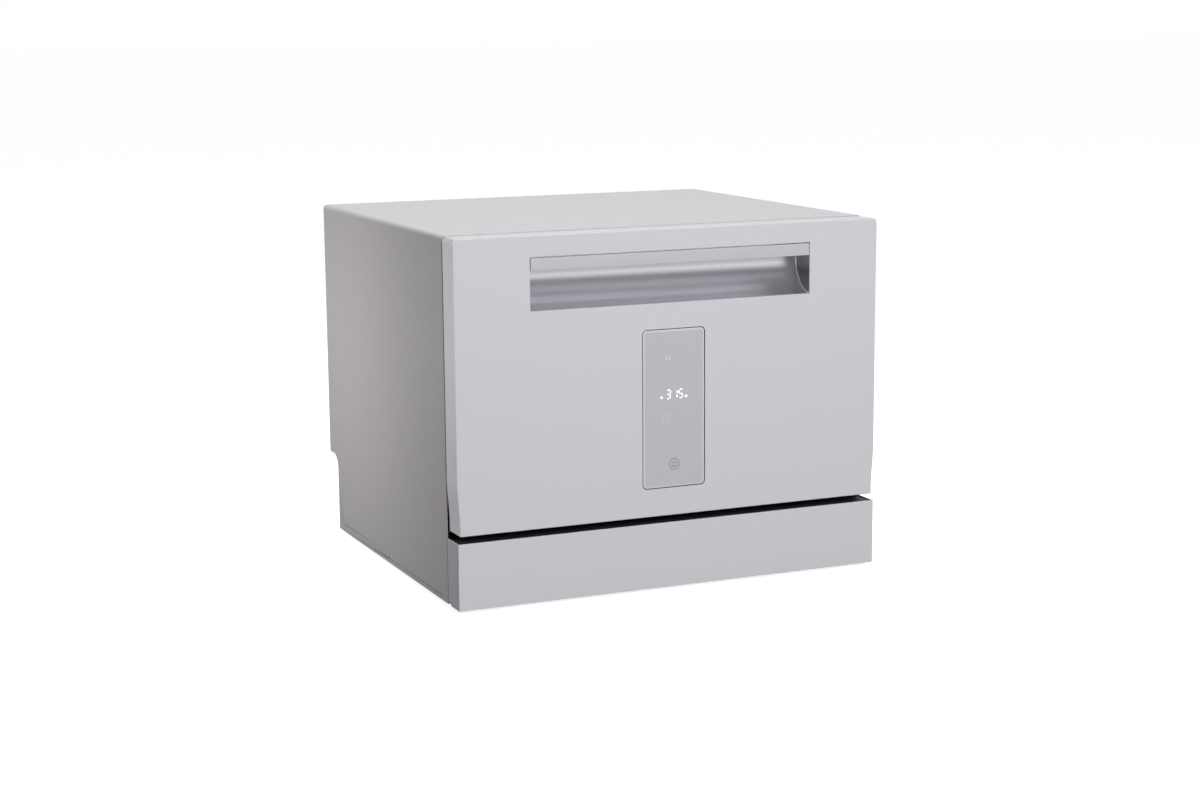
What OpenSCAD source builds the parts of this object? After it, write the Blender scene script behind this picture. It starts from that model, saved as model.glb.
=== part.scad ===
/* Countertop dishwasher: a folded steel casing round a stainless tub, with a drop-down
   front door, a roll-out dish rack and the wash, drain and softener parts in its base.
   Millimetres. +Z is up, the door faces -Y, and the origin is the middle of the footprint. */

/* [Body] */
// Width of the casing
body_w = 550; // [460:1:660]
// Depth from the door's face to the casing's back edge
body_d = 500; // [480:1:600]
// Height, feet included
body_h = 438; // [400:1:526]
// Clear height under the body, which the feet take up
foot_gap = 5.5; // [5:0.5:12]
// Thickness of the casing sheet
casing_t = 0.8; // [0.6:0.1:1.2]
// Outer bend radius of the casing's top edges
casing_r = 5; // [4:0.5:8]
// How far the hose recess at the lower back is set in
recess_d = 34; // [20:1:42]
// Height of the hose recess above the body's lower edge
recess_h = 100; // [84:1:115]
// Inner corner radius of the hose recess
recess_r = 18; // [10:1:24]

/* [Door] */
// Depth of the door's outer skin
door_t = 35.5; // [33:0.5:42]
// Gap between the door's skin and the casing's front edge
door_gap = 3; // [2:0.5:5]
// Height of the door's lower edge above the worktop
door_low = 93.4; // [92:0.2:110]
// Thickness of the door's skin
skin_t = 1; // [0.8:0.1:1.5]
// How much each side of the door narrows near its lower edge
nip = 2.7; // [2:0.1:4]
// Distance of the hinge axis behind the door's face
axis_back = 24; // [20:0.5:25]
// Height of the hinge axis above the door's lower edge
axis_rise = 35.6; // [34:0.2:40]
// How far the liner's pan reaches behind the hinge axis
pan_reach = 22; // [18:0.5:24]
// Height of the plinth's top edge above the worktop
plinth_top = 85; // [60:0.5:86]

/* [Handle and control panel] */
// Width of the grip opening
grip_w = 364; // [280:1:380]
// Height of the grip opening
grip_h = 62; // [50:1:66]
// Height of the flush strip across the top of the grip opening
strip_h = 15.5; // [10:0.5:20]
// Distance of the grip opening below the top of the door
grip_drop = 26; // [20:1:40]
// Deepest reach of the grip scoop behind the door's face
grip_depth = 33; // [26:0.5:34]
// Width of the touch glass
glass_w = 80.5; // [68:0.5:98]
// Height of the touch glass
glass_h = 190; // [160:1:200]
// Height of the touch glass above the door's lower edge
glass_rise = 34.6; // [24:0.2:50]
// Gap round the touch glass and the grip's strip
seam = 0.9; // [0.5:0.1:1.5]
// Corner radius of the touch glass
glass_r = 5; // [3:0.5:10]

/* [Tub] */
// Space between the casing's outside and the tub's inside, each side
tub_side = 35; // [33:1:45]
// Space between the casing's top and the tub's ceiling
tub_roof = 24; // [22:1:34]
// Space between the back panel and the tub's back wall
tub_rear = 58; // [50:1:75]
// Height of the tub's ledges above the hinge axis
ledge_rise = 23; // [21:0.5:27]
// Depth of the basin below the ledges
basin_d = 26; // [22:1:30]
// Width of the ledges along the tub's sides
ledge_w = 28; // [24:1:40]
// Thickness of the tub's sheet
tub_t = 1; // [0.6:0.1:1.5]

/* [Rack] */
// Height of the rack's side walls above its floor
rack_wall = 90; // [60:1:110]
// Thickness of the rack's wires
wire = 4; // [3:0.5:5]
// Radius of the rack's rollers
roller_r = 12; // [10:0.5:13]
// Width of the rack's rollers
roller_w = 8; // [6:0.5:9]
// Space between plate supports
plate_pitch = 28; // [22:1:34]
// Number of plate supports
plate_rows = 9; // [6:1:9]
// Height of the plate supports above the rack's floor
tine_h = 58; // [40:1:65]
// Width of the cutlery basket
cutlery_w = 70; // [56:1:74]
// Length of the cutlery basket
cutlery_l = 200; // [160:1:230]
// Height of the cutlery basket
cutlery_h = 120; // [90:1:130]
// Radius swept by the spray arm
spray_r = 158; // [120:1:162]

/* [Connections] */
// Outer radius of the water inlet's thread, G 3/4
inlet_r = 13.2; // [10.4:0.1:13.2]
// Length of the water inlet's thread
inlet_len = 14; // [10:1:15]
// Outer radius of the drain spigot
drain_r = 9; // [7:0.5:11]
// Length of the drain spigot
drain_len = 24; // [18:1:28]
// Radius of the hole for the supply cord
cord_r = 4; // [3:0.25:5]
// Radius of a foot's pad
foot_r = 17; // [12:0.5:20]

/* [Hidden] */
$fn = 48;
eps = 0.01;

// Colours
silver = [0.77, 0.77, 0.79];
steel = [0.72, 0.73, 0.74];
brushed = [0.66, 0.66, 0.68];
black = [0.12, 0.12, 0.13];
dark_grey = [0.28, 0.28, 0.30];
light_grey = [0.70, 0.72, 0.74];
glass_grey = [0.72, 0.73, 0.74];
rack_grey = [0.55, 0.58, 0.62];
board_green = [0.10, 0.35, 0.22];
copper = [0.72, 0.45, 0.20];

// Clearances
fit = 0.3;          // between pieces that only seat on each other
running = 0.15;     // radial, round a pivot
hem = 1.6;          // the casing's folded front edges, twice the sheet

// Body
half_w = body_w / 2;
front_y = -body_d / 2;
rear_y = body_d / 2;
bottom_z = foot_gap;
case_front = front_y + door_t + door_gap;
case_in = half_w - casing_t;              // inside face of the casing's sides
hem_d = 9;
recess_y = rear_y - recess_d;
screw_ys = [case_front + 17, 0, recess_y - 16];
screw_z = bottom_z + 9;
recess_z = bottom_z + recess_h;

// Door
axis_y = front_y + axis_back;
axis_z = door_low + axis_rise;
door_top = body_h - 1;
skin_back = front_y + door_t;
nip_low = axis_z - 26;
nip_high = axis_z + 28;
liner_t = 0.8;
seal_face = case_front - 7.5;             // where the liner's rim meets the seal
flange_y = case_front + 0.5;              // front face of the tub's flange

// Tub
tub_in = half_w - tub_side;
ledge_z = axis_z + ledge_rise;
roof_z = body_h - tub_roof;
tub_back = rear_y - tub_rear;
basin_z = ledge_z - basin_d;
basin_x = tub_in - ledge_w;
basin_front = axis_y + 54;
basin_back = tub_back - 20;
basin_mid = (basin_front + basin_back) / 2;
mouth_r = 12;
weld_x = tub_in - mouth_r;                // seam between the tub's bottom and its wrap
seal_w = 7.5;
seal_in = 1.5;

// Liner's pan
pan_back = axis_y + pan_reach;
pan_x = tub_in - 4;
pan_low = ledge_z + 6;
pan_top = roof_z - 3;
pan_r = 18;
pan_w = 2 * pan_x;
pan_h = pan_top - pan_low;

// Rails and rack
rail_h = 4;
rail_w = 14;
rail_x = tub_in - 20;                     // middle of each rail
rail_top = ledge_z + rail_h;
door_rail_h = rail_top - axis_z - pan_reach - 0.3;    // level with the rails when the door is open
axle_z = rail_top + roller_r + fit;
rack_x = rail_x - roller_w / 2 - 9;       // outside of the rack's side walls
floor_z = ledge_z + 14;                   // middle of the floor wires
floor_low = floor_z - wire / 2;
floor_top = floor_z + wire / 2;
rim_z = floor_z + rack_wall;
rack_front = axis_y + 42;
rack_back = tub_back - 20;
slope_y = axis_y + 106;                   // where the sloping front meets the floor
slope_z = floor_z + 46;
roller_front_y = axis_y + 132;
roller_rear_y = rack_back - 52;
axle_r = 2.5;

// Hinges, given at the right side and mirrored
pin_r = 4;
bracket_x = half_w - 18;                  // inside face of the bracket plate
bracket_t = 3;
arm_x = bracket_x + bracket_t + 2.2;      // inside face of the door's arm
arm_t = 3;
tail_y = 45;
tail_z = -30;
slot_x0 = bracket_x - 3;                  // the door's hinge pockets
slot_x1 = arm_x + arm_t + 2.5;

// Base
wall = 3;
base_x = half_w - hem - fit;
base_low = bottom_z + 0.5;
base_floor = base_low + wall;
base_side = 78;
shelf_z = plinth_top - 1.5;               // black shelf behind the plinth's top edge
shelf_back = axis_y + 47;
rib_x = tub_in - 12;                      // walls that carry the tub's ledges
base_rear = recess_y - 1.7 - casing_t;
foot_x = half_w - 45;
foot_front = front_y + 75;
foot_rear = recess_y - 40;
stem_r = 5;

// Wash parts, placed from the middle of the basin
hub_x = 0;
hub_y = basin_mid;
well_x = 72;
well_y = basin_mid - 82;
well_r = 38;
salt_x = -125;
salt_y = basin_mid - 95;
salt_r = 30;
spray_z = basin_z + 12;                   // underside of the spray arm
pump_y = basin_mid + 6;
pump_z = base_floor + 46;
pump_r = 40;
heater_x = 8;
drain_x = well_x + well_r + 4;
drain_z = base_floor + 32;
inlet_x = 150;
outlet_x = 70;
port_z = bottom_z + 50;
gland_x = -180;
float_x = basin_x - 25;
float_y = basin_front + 30;

// ---------------------------------------------------------------- helpers

// A block between two corners
module block(lo, hi) { translate(lo) cube(hi - lo); }

// Round bars along each axis
module bar_x(x0, x1, y, z, r) { translate([x0, y, z]) rotate([0, 90, 0]) cylinder(r = r, h = x1 - x0); }
module bar_y(x, y0, y1, z, r) { translate([x, y1, z]) rotate([90, 0, 0]) cylinder(r = r, h = y1 - y0); }
module bar_z(x, y, z0, z1, r) { translate([x, y, z0]) cylinder(r = r, h = z1 - z0); }

// Outlines drawn in X and Z, or in Y and Z, given a thickness
module slab_y(y0, y1) { translate([0, y1, 0]) rotate([90, 0, 0]) linear_extrude(height = y1 - y0) children(); }
module slab_x(x0, x1) { translate([x0, 0, 0]) rotate([90, 0, 90]) linear_extrude(height = x1 - x0) children(); }
module slab_z(z0, z1) { translate([0, 0, z0]) linear_extrude(height = z1 - z0) children(); }

// A rectangle between two corners with round corners
module round_rect(lo, hi, r) {
    translate([lo.x + r, lo.y]) square([hi.x - lo.x - 2 * r, hi.y - lo.y]);
    translate([lo.x, lo.y + r]) square([hi.x - lo.x, hi.y - lo.y - 2 * r]);
    for (x = [lo.x + r, hi.x - r], y = [lo.y + r, hi.y - r]) translate([x, y]) circle(r = r);
}

// A copy on each side of the body
module both_sides() {
    children();
    mirror([1, 0, 0]) children();
}

// Points on an arc about a centre
function arc(c, r, a0, a1, n) =
    [for (i = [0:n]) [c.x + r * cos(a0 + (a1 - a0) * i / n), c.y + r * sin(a0 + (a1 - a0) * i / n)]];

// A smooth step from 0 to 1
function ease(t) = t <= 0 ? 0 : t >= 1 ? 1 : t * t * (3 - 2 * t);

// ---------------------------------------------------------------- casing and base

// Side view of the casing, with the recess for the hoses
module side_outline(grow) {
    polygon(concat(
        [[case_front, bottom_z], [case_front, body_h + grow], [rear_y, body_h + grow], [rear_y, recess_z]],
        arc([recess_y + recess_r, recess_z - recess_r], recess_r, 90, 180, 8),
        [[recess_y, bottom_z]]));
}

// Front view of the casing's outside, or of a layer inset from it
module arch_outline(inset) {
    r = casing_r - min(inset, casing_r - 1);
    x = half_w - inset;
    z = body_h - inset;
    polygon(concat(
        [[x, -10]], arc([x - r, z - r], r, 0, 90, 6), arc([r - x, z - r], r, 90, 180, 6), [[-x, -10]]));
}

module outer_casing() {
    color(silver) intersection() {
        difference() {
            slab_y(case_front, rear_y) arch_outline(0);
            slab_y(case_front + hem_d, rear_y + 1) arch_outline(casing_t);
            slab_y(case_front - 1, case_front + hem_d + eps) arch_outline(hem);
        }
        slab_x(-half_w, half_w) difference() {
            side_outline(0);
            for (y = screw_ys) translate([y, screw_z]) circle(r = 3 + running);
        }
    }
}

// The back sheet, bent forward over the hose recess
module rear_panel() {
    t = casing_t;
    y1 = rear_y - 1.5;
    y0 = recess_y - 1.5;
    z0 = recess_z + 0.6;
    outline = concat(
        [[y1 - t, body_h - casing_t - fit], [y1, body_h - casing_t - fit], [y1, z0]],
        arc([y0 + recess_r, z0 - recess_r], recess_r, 90, 180, 8),
        [[y0, z0 - recess_r - 8], [y0 - t, z0 - recess_r - 8]],
        arc([y0 + recess_r, z0 - recess_r], recess_r + t, 180, 90, 8),
        [[y1 - t, z0 + t]]);
    color(steel) intersection() {
        slab_x(-half_w, half_w) polygon(outline);
        slab_y(y0 - 9, y1 + 1) arch_outline(t + fit);
    }
}

module base_pan() {
    y0 = front_y + 2.5;
    rear = base_rear;
    color(black) difference() {
        union() {
            block([-base_x, y0, base_low], [base_x, rear, base_floor]);
            // front wall and the shelf under the door
            block([-base_x, y0, base_low], [base_x, y0 + wall, shelf_z]);
            block([-base_x, y0, shelf_z - wall], [base_x, shelf_back, shelf_z]);
            both_sides() {
                // outer walls
                block([base_x - wall, y0, base_low], [base_x, rear, bottom_z + base_side - 2]);
                // walls that carry the tub
                block([rib_x, shelf_back - wall, base_low], [rib_x + wall, rear - 8, ledge_z - tub_t]);
                // bosses over the feet
                for (y = [foot_front, foot_rear]) bar_z(foot_x, y, base_low, base_floor + 7, 11);
            }
            // back wall, with the connections through it
            block([-base_x, rear - wall, base_low], [base_x, rear, recess_z - recess_r - 4]);
            // cross wall under the back of the tub
            block([-rib_x - wall, rear - 8 - wall, base_low], [rib_x + wall, rear - 8, ledge_z - tub_t]);
            // guide of the overflow float
            bar_z(float_x, float_y, base_low, base_floor + 8, 6);
        }
        both_sides() for (y = [foot_front, foot_rear])
            bar_z(foot_x, y, base_low - 1, base_floor + 8, stem_r + running);
        bar_z(float_x, float_y, base_floor - 1, base_floor + 9, 3 + running);
        // ports, through the back wall and the cross wall
        bar_y(inlet_x, rear - 20, rear + 1, port_z, inlet_r + 1);
        bar_y(outlet_x, rear - 20, rear + 1, port_z, drain_r + 1);
        bar_y(gland_x, rear - 20, rear + 1, port_z, cord_r + 3);
        // notches in the shelf for the door's springs
        both_sides() block([arm_x + arm_t / 2 - 3.5, shelf_back - 2, shelf_z - wall - 1],
            [arm_x + arm_t / 2 + 3.5, shelf_back + 1, shelf_z + 1]);
        // way for the pipe to the air breaker
        block([-rib_x - 2 * wall, rear - 39, port_z + 34], [-rib_x + 2, rear - 23, port_z + 54]);
    }
}

module plinth() {
    z0 = bottom_z;
    t = casing_t + 0.2;
    side_back = case_front - 1.8;
    color(silver) difference() {
        union() {
            block([-half_w, front_y, z0], [half_w, front_y + t, plinth_top]);
            both_sides() block([half_w - t, front_y, z0], [half_w, side_back, plinth_top]);
            // folded lower edge
            block([-half_w, front_y, z0], [half_w, front_y + t + 8, z0 + 0.5]);
        }
        // small cut at the foot of each side
        both_sides() block([half_w - 2 * t, side_back - 8, z0 - 1], [half_w + 1, side_back + 1, z0 + 3]);
    }
}

module foot(x, y) {
    color(black) {
        bar_z(x, y, 0, foot_gap - fit, foot_r);
        bar_z(x, y, 0, base_floor + 4, stem_r);
    }
}

// ---------------------------------------------------------------- tub

module tub_outside() {
    slab_y(flange_y, tub_back + tub_t)
        round_rect([-tub_in - tub_t, ledge_z - tub_t], [tub_in + tub_t, roof_z + tub_t], mouth_r + tub_t);
    block([-basin_x - tub_t, basin_front - tub_t, basin_z - tub_t],
        [basin_x + tub_t, basin_back + tub_t, ledge_z + mouth_r]);
}

module tub_inside() {
    slab_y(flange_y - 1, tub_back)
        round_rect([-tub_in, ledge_z], [tub_in, roof_z], mouth_r);
    block([-basin_x, basin_front, basin_z], [basin_x, basin_back, ledge_z + mouth_r]);
}

module tub() {
    flange_low = axis_z + 14;
    color(steel) difference() {
        union() {
            tub_outside();
            // front flange, open at its lower corners for the hinges
            block([-slot_x0 + 2, flange_y, flange_low], [slot_x0 - 2, flange_y + tub_t, roof_z]);
            intersection() {
                slab_y(flange_y, flange_y + tub_t) arch_outline(hem + fit);
                block([-half_w, flange_y - 1, axis_z + 62], [half_w, flange_y + 9, body_h]);
            }
        }
        tub_inside();
        // way in for the door's strike
        block([-9, flange_y - 1, strike_low - 1.5], [9, flange_y + tub_t + 1, pawl_z]);
        // openings of the filter well, the spray hub and the salt tank
        bar_z(well_x, well_y, basin_z - 2 * tub_t, basin_z + 1, well_r + 1);
        bar_z(hub_x, hub_y, basin_z - 2 * tub_t, basin_z + 1, 12.5);
        bar_z(salt_x, salt_y, basin_z - 2 * tub_t, basin_z + 1, salt_r - 3);
        // seam between the formed bottom and the wrap with its back wall
        difference() {
            block([-weld_x - fit, flange_y - 1, basin_z - 9], [weld_x + fit, rear_y, ledge_z + fit]);
            block([-weld_x, flange_y - 2, basin_z - 10], [weld_x, rear_y + 1, ledge_z]);
        }
    }
}

module tub_seal() {
    grow = seal_in + seal_w;
    color(dark_grey) difference() {
        slab_y(seal_face, flange_y)
            round_rect([-tub_in - grow, ledge_z - grow], [tub_in + grow, roof_z + grow], mouth_r + grow);
        slab_y(seal_face - 1, flange_y + 1)
            round_rect([-tub_in - seal_in, ledge_z - seal_in], [tub_in + seal_in, roof_z + seal_in],
                mouth_r + seal_in);
    }
}

module rack_rails() {
    color(light_grey) both_sides() {
        block([rail_x - rail_w / 2, seal_face + 1, ledge_z], [rail_x + rail_w / 2, tub_back - 8, rail_top]);
        // end stop at the back
        block([rail_x - rail_w / 2, tub_back - 14, ledge_z], [rail_x + rail_w / 2, tub_back - 8, rail_top + 12]);
    }
}

// ---------------------------------------------------------------- latch and hinges

latch_low = roof_z + tub_t;
latch_top = body_h - hem - fit;
strike_low = roof_z + 10.5;
strike_top = strike_low + 4.5;
pawl_y = flange_y + 4;                    // front of the lock bolt's shaft
pawl_z = strike_top + 2.2;

module latch_body() {
    color(black) difference() {
        block([-22, flange_y + tub_t, latch_low], [22, flange_y + 46, latch_top]);
        // slot for the strike
        block([-8, flange_y, strike_low - 1.5], [8, flange_y + 34, pawl_z]);
        // shaft of the lock bolt
        block([-5, pawl_y, strike_low], [5, pawl_y + 8, pawl_z + 3.1]);
    }
}

module latch_pawl() {
    color(light_grey) block([-5 + fit, pawl_y + fit, pawl_z], [5 - fit, pawl_y + 8 - fit, pawl_z + 2.8]);
}

module door_strike() {
    y0 = seal_face;
    color(steel) {
        block([-14, y0, strike_low - 1], [14, y0 + 1.5, strike_top + 1]);
        block([-3, y0, strike_low], [3, flange_y + 20, strike_low + 2.5]);
        block([-5, flange_y + 14, strike_low], [5, flange_y + 22, strike_top]);
    }
}

module hinge_bracket() {
    outline = concat(
        arc([axis_y, axis_z], 8, 90, 270, 12),
        [[axis_y + 43, axis_z - 8], [axis_y + 52, base_floor + 30], [axis_y + 52, base_floor],
         [axis_y + 80, base_floor], [axis_y + 80, base_floor + 40], [axis_y + 58, axis_z + 8]]);
    difference() {
        union() {
            slab_x(bracket_x, bracket_x + bracket_t) polygon(outline);
            // foot on the base's floor
            block([bracket_x - 14, axis_y + 52, base_floor], [bracket_x + bracket_t, axis_y + 80, base_floor + 3]);
        }
        bar_x(bracket_x - 1, bracket_x + bracket_t + 1, axis_y, axis_z, pin_r);
    }
}

module hinge_brackets() { color(steel) both_sides() hinge_bracket(); }

module hinge_pins() {
    color(steel) both_sides() {
        bar_x(bracket_x - 3, arm_x + arm_t + 1.5, axis_y, axis_z, pin_r);
        bar_x(bracket_x - 3, bracket_x, axis_y, axis_z, pin_r + 2);
        bar_x(arm_x + arm_t + 0.5, arm_x + arm_t + 1.5, axis_y, axis_z, pin_r + 1.5);
    }
}

module hinge_arm() {
    flange = seal_face - liner_t;
    a = atan2(tail_z, tail_y);
    color(steel) difference() {
        union() {
            bar_x(arm_x, arm_x + arm_t, axis_y, axis_z, 9);
            // up the door's side
            block([arm_x, axis_y - 8, axis_z], [arm_x + arm_t, flange, axis_z + 120]);
            block([arm_x - 14, flange - 3, axis_z + 30], [arm_x + arm_t, flange, axis_z + 120]);
            // tail to the spring
            slab_x(arm_x, arm_x + arm_t) translate([axis_y, axis_z]) rotate(a)
                square([norm([tail_y, tail_z]), 8]);
            bar_x(arm_x, arm_x + arm_t, axis_y + tail_y, axis_z + tail_z, 6);
        }
        bar_x(arm_x - 1, arm_x + arm_t + 1, axis_y, axis_z, pin_r + running);
        bar_x(arm_x - 1, arm_x + arm_t + 1, axis_y + tail_y, axis_z + tail_z, 2);
    }
}

module hinge_arms() { both_sides() hinge_arm(); }

module door_springs() {
    y0 = axis_y + tail_y;
    z0 = axis_z + tail_z;
    y1 = y0 + 24;
    z1 = base_floor + 1.2;
    len = norm([y1 - y0, z1 - z0]);
    x = arm_x + arm_t / 2;
    color(steel) both_sides() translate([x, y1, z1]) rotate([atan2(y1 - y0, z0 - z1), 0, 0]) {
        bar_z(0, 0, 12, len - 14, 3);
        bar_z(0, 0, 0, len - 6.5, 1);
    }
}

// ---------------------------------------------------------------- door

// Half width of the door at a height
function door_half(z) = half_w - nip * (1 - ease((z - nip_low) / (nip_high - nip_low)));

// Front view of the door's skin, or of a layer inset from it
module door_outline(inset, low) {
    r = casing_r - min(inset, casing_r - 1);
    x = half_w - inset;
    z = door_top - inset;
    steps = 10;
    edge = [for (i = [0:steps]) nip_low + (nip_high - nip_low) * i / steps];
    polygon(concat(
        [[door_half(low) - inset, low]],
        [for (h = edge) if (h > low) [door_half(h) - inset, h]],
        arc([x - r, z - r], r, 0, 90, 6), arc([r - x, z - r], r, 90, 180, 6),
        [for (i = [0:steps]) if (edge[steps - i] > low) [inset - door_half(edge[steps - i]), edge[steps - i]]],
        [[inset - door_half(low), low]]));
}

grip_top = door_top - grip_drop + 1;
grip_low = grip_top - grip_h;
grip_x = grip_w / 2;
glass_low = door_low + glass_rise;
glass_top = glass_low + glass_h;

module door_skin() {
    color(silver) difference() {
        slab_y(front_y, skin_back) door_outline(0, door_low);
        slab_y(front_y + skin_t, skin_back + 1) door_outline(skin_t, door_low + skin_t);
        block([-grip_x, front_y - 1, grip_low], [grip_x, front_y + skin_t + 1, grip_top]);
        slab_y(front_y - 1, front_y + skin_t + 1)
            round_rect([-glass_w / 2 - seam, glass_low - seam], [glass_w / 2 + seam, glass_top + seam], glass_r + seam);
        // slots in the lower edge, where the hinges pass when the door is down
        both_sides() block([slot_x0, axis_y - 11, door_low - 1], [slot_x1, skin_back + 1, door_low + skin_t + 1]);
    }
}

// The scoop's lower part, on one arc up to the middle, where it is deepest
scoop_mid = grip_top - 22;
scoop_fall = scoop_mid - grip_low;
scoop_r = (scoop_fall * scoop_fall + grip_depth * grip_depth) / (2 * grip_depth);
scoop_end = asin(scoop_fall / scoop_r);

// Side view of the scoop's surface, or of a layer outside it
function scoop_line(out) = concat(
    arc([front_y + grip_depth - scoop_r, scoop_mid], scoop_r + out, -scoop_end, 0, 12),
    arc([front_y + grip_depth - 11, grip_top - 11.5], 11 + out, 0, 90, 6));

module grip_scoop() {
    t = 1.2;
    line = scoop_line(0);
    back = scoop_line(t);
    top = grip_top - 0.5;
    color(brushed) difference() {
        slab_x(-grip_x + fit, grip_x - fit)
            polygon(concat(
                line, [[front_y + 4, top], [front_y + 4, top + t]],
                [for (i = [len(back) - 1:-1:0]) back[i]]));
        block([-half_w, front_y - 20, grip_low - 20], [half_w, front_y, grip_top + 20]);
        block([-half_w, front_y - 20, grip_low - 20], [half_w, front_y + skin_t + 0.2, grip_low + 0.3]);
    }
}

module grip_strip() {
    z0 = grip_top - strip_h;
    color(brushed) difference() {
        block([-grip_x + seam, front_y, z0], [grip_x - seam, front_y + 4, grip_top - seam]);
        block([-grip_x + 3, front_y + 1, z0 + 1.5], [grip_x - 3, front_y + 5, grip_top - 2.5]);
    }
}

module grip_ends() {
    t = 1.5;
    outline = concat(
        [[front_y + skin_t, grip_low]],
        scoop_line(1.2),
        [[front_y + skin_t, grip_top + 0.7]]);
    color(dark_grey) both_sides() slab_x(grip_x - fit, grip_x - fit + t) intersection() {
        polygon(outline);
        translate([front_y + skin_t, grip_low - 5]) square([grip_depth + 10, grip_h + 10]);
    }
}

module touch_glass() {
    color(glass_grey) slab_y(front_y, front_y + 3)
        round_rect([-glass_w / 2, glass_low], [glass_w / 2, glass_top], glass_r);
}

case_back = front_y + 19;

module control_case() {
    x = glass_w / 2 + 4;
    color(black) difference() {
        block([-x, front_y + skin_t, glass_low - 4], [x, case_back, glass_top + 4]);
        block([-x + 6, front_y, glass_low + 2], [x - 6, case_back - 2, glass_top - 2]);
        slab_y(front_y, front_y + 3)
            round_rect([-glass_w / 2 - fit, glass_low - fit], [glass_w / 2 + fit, glass_top + fit], glass_r);
    }
}

module control_board() {
    x = glass_w / 2 - 4;
    z0 = glass_low + 6;
    z1 = glass_top - 6;
    y1 = case_back - 2;
    color(board_green) block([-x, y1 - 5, z0], [x, y1 - 3.4, z1]);
    color(black) {
        // display module, towards the glass
        block([-24, y1 - 11, glass_low + 98], [24, y1 - 5, glass_low + 126]);
        for (z = [z0 + 4, z1 - 4], x1 = [-x + 4, x - 4]) bar_y(x1, y1 - 3.4, y1, z, 2);
        block([-12, y1 - 3.4, z0 + 30], [12, y1 - 1.4, z0 + 54]);
    }
}

disp_x = 123;
disp_z = axis_z + 138;
disp_w = 150;
disp_h = 110;
disp_back = pan_back + 5;
disp_deep = pan_back - 24;

module door_liner() {
    rim_low = axis_z + 21;
    y0 = seal_face - liner_t;
    color(steel) difference() {
        union() {
            slab_y(y0, seal_face) door_outline(skin_t + fit, door_low + skin_t + fit);
            slab_y(y0, pan_back) round_rect([-pan_x, pan_low], [pan_x, pan_top], pan_r);
        }
        slab_y(y0 - 1, pan_back - liner_t)
            round_rect([-pan_x + liner_t, pan_low + liner_t], [pan_x - liner_t, pan_top - liner_t], pan_r - liner_t);
        // hinge pockets
        both_sides() block([slot_x0 - 4, y0 - 1, door_low], [half_w, seal_face + 1, rim_low]);
        // seat of the dispenser
        block([disp_x - disp_w / 2 + 3, y0, disp_z - disp_h / 2 + 3],
            [disp_x + disp_w / 2 - 3, pan_back + 1, disp_z + disp_h / 2 - 3]);
    }
    // raised tracks for the rack's rollers, with a ramp at their lower end
    top = pan_back + door_rail_h;
    color(steel) both_sides() slab_x(rail_x - rail_w / 2, rail_x + rail_w / 2 - 1) polygon([
        [pan_back, pan_low + 2], [top - 3, pan_low + 2], [top, pan_low + 11],
        [top, pan_low + 180], [pan_back, pan_low + 180]]);
}

module door_screws() {
    x = half_w - 13;
    color(steel) both_sides() {
        for (z = [axis_z + 60, axis_z + 105, axis_z + 200, door_top - 30])
            bar_y(x, seal_face, seal_face + 1.6, z, 3.4);
        bar_y(half_w - 90, seal_face, seal_face + 1.6, door_top - 7, 3.4);
    }
}

// ---------------------------------------------------------------- dispenser

cup_x = disp_x - 27;
cup_w = 56;
cup_low = disp_z - 45;
cup_h = 42;
lid_gap = 0.4;
lid_travel = 44;
track_d = 4;
cap_x = disp_x + 42;
cap_z = disp_z - 22;
button_z = disp_z + 28;

module dispenser_body() {
    color(light_grey) difference() {
        union() {
            slab_y(pan_back, disp_back) round_rect(
                [disp_x - disp_w / 2, disp_z - disp_h / 2], [disp_x + disp_w / 2, disp_z + disp_h / 2], 8);
            block([disp_x - disp_w / 2 + 4, disp_deep, disp_z - disp_h / 2 + 4],
                [disp_x + disp_w / 2 - 4, pan_back, disp_z + disp_h / 2 - 4]);
        }
        // track of the lid
        block([cup_x - cup_w / 2 - 6, disp_back - track_d, cup_low - 5],
            [cup_x + cup_w / 2 + 6, disp_back + 1, cup_low + cup_h + 5 + lid_travel]);
        // detergent cup
        block([cup_x - cup_w / 2, disp_deep + 3, cup_low], [cup_x + cup_w / 2, disp_back, cup_low + cup_h]);
        // rinse aid filler and lid button
        bar_y(cap_x, disp_deep + 6, disp_back + 1, cap_z, 12);
        bar_y(cap_x, disp_back - 12, disp_back + 1, button_z, 8.4);
    }
}

module dispenser_lid() {
    y1 = disp_back - lid_gap;
    y0 = disp_back - track_d + lid_gap;
    z0 = cup_low - 5 + lid_gap;
    z1 = cup_low + cup_h + 5;
    color(light_grey) {
        block([cup_x - cup_w / 2 - 5.6, y0, z0], [cup_x + cup_w / 2 + 5.6, y1, z1]);
        // finger ridge
        block([cup_x - 18, y1, z1 - 12], [cup_x + 18, y1 + 2, z1 - 8]);
    }
}

module lid_button() {
    color(dark_grey) bar_y(cap_x, disp_back - 8, disp_back + 2, button_z, 8);
}

module rinse_cap() {
    color(dark_grey) {
        bar_y(cap_x, disp_back - 16, disp_back + fit, cap_z, 12 - fit);
        bar_y(cap_x, disp_back + fit, disp_back + 4, cap_z, 17);
        block([cap_x - 13, disp_back + 4, cap_z - 2], [cap_x + 13, disp_back + 6.5, cap_z + 2]);
    }
}

// ---------------------------------------------------------------- rack

// A flat grid of wires between two corners, with cells no larger than a pitch
module grid(lo, hi, pitch_a, pitch_b, w) {
    na = max(1, round((hi.x - lo.x - w) / pitch_a));
    nb = max(1, round((hi.y - lo.y - w) / pitch_b));
    for (i = [0:na]) translate([lo.x + (hi.x - lo.x - w) * i / na, lo.y]) square([w, hi.y - lo.y]);
    for (j = [0:nb]) translate([lo.x, lo.y + (hi.y - lo.y - w) * j / nb]) square([hi.x - lo.x, w]);
}

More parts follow.
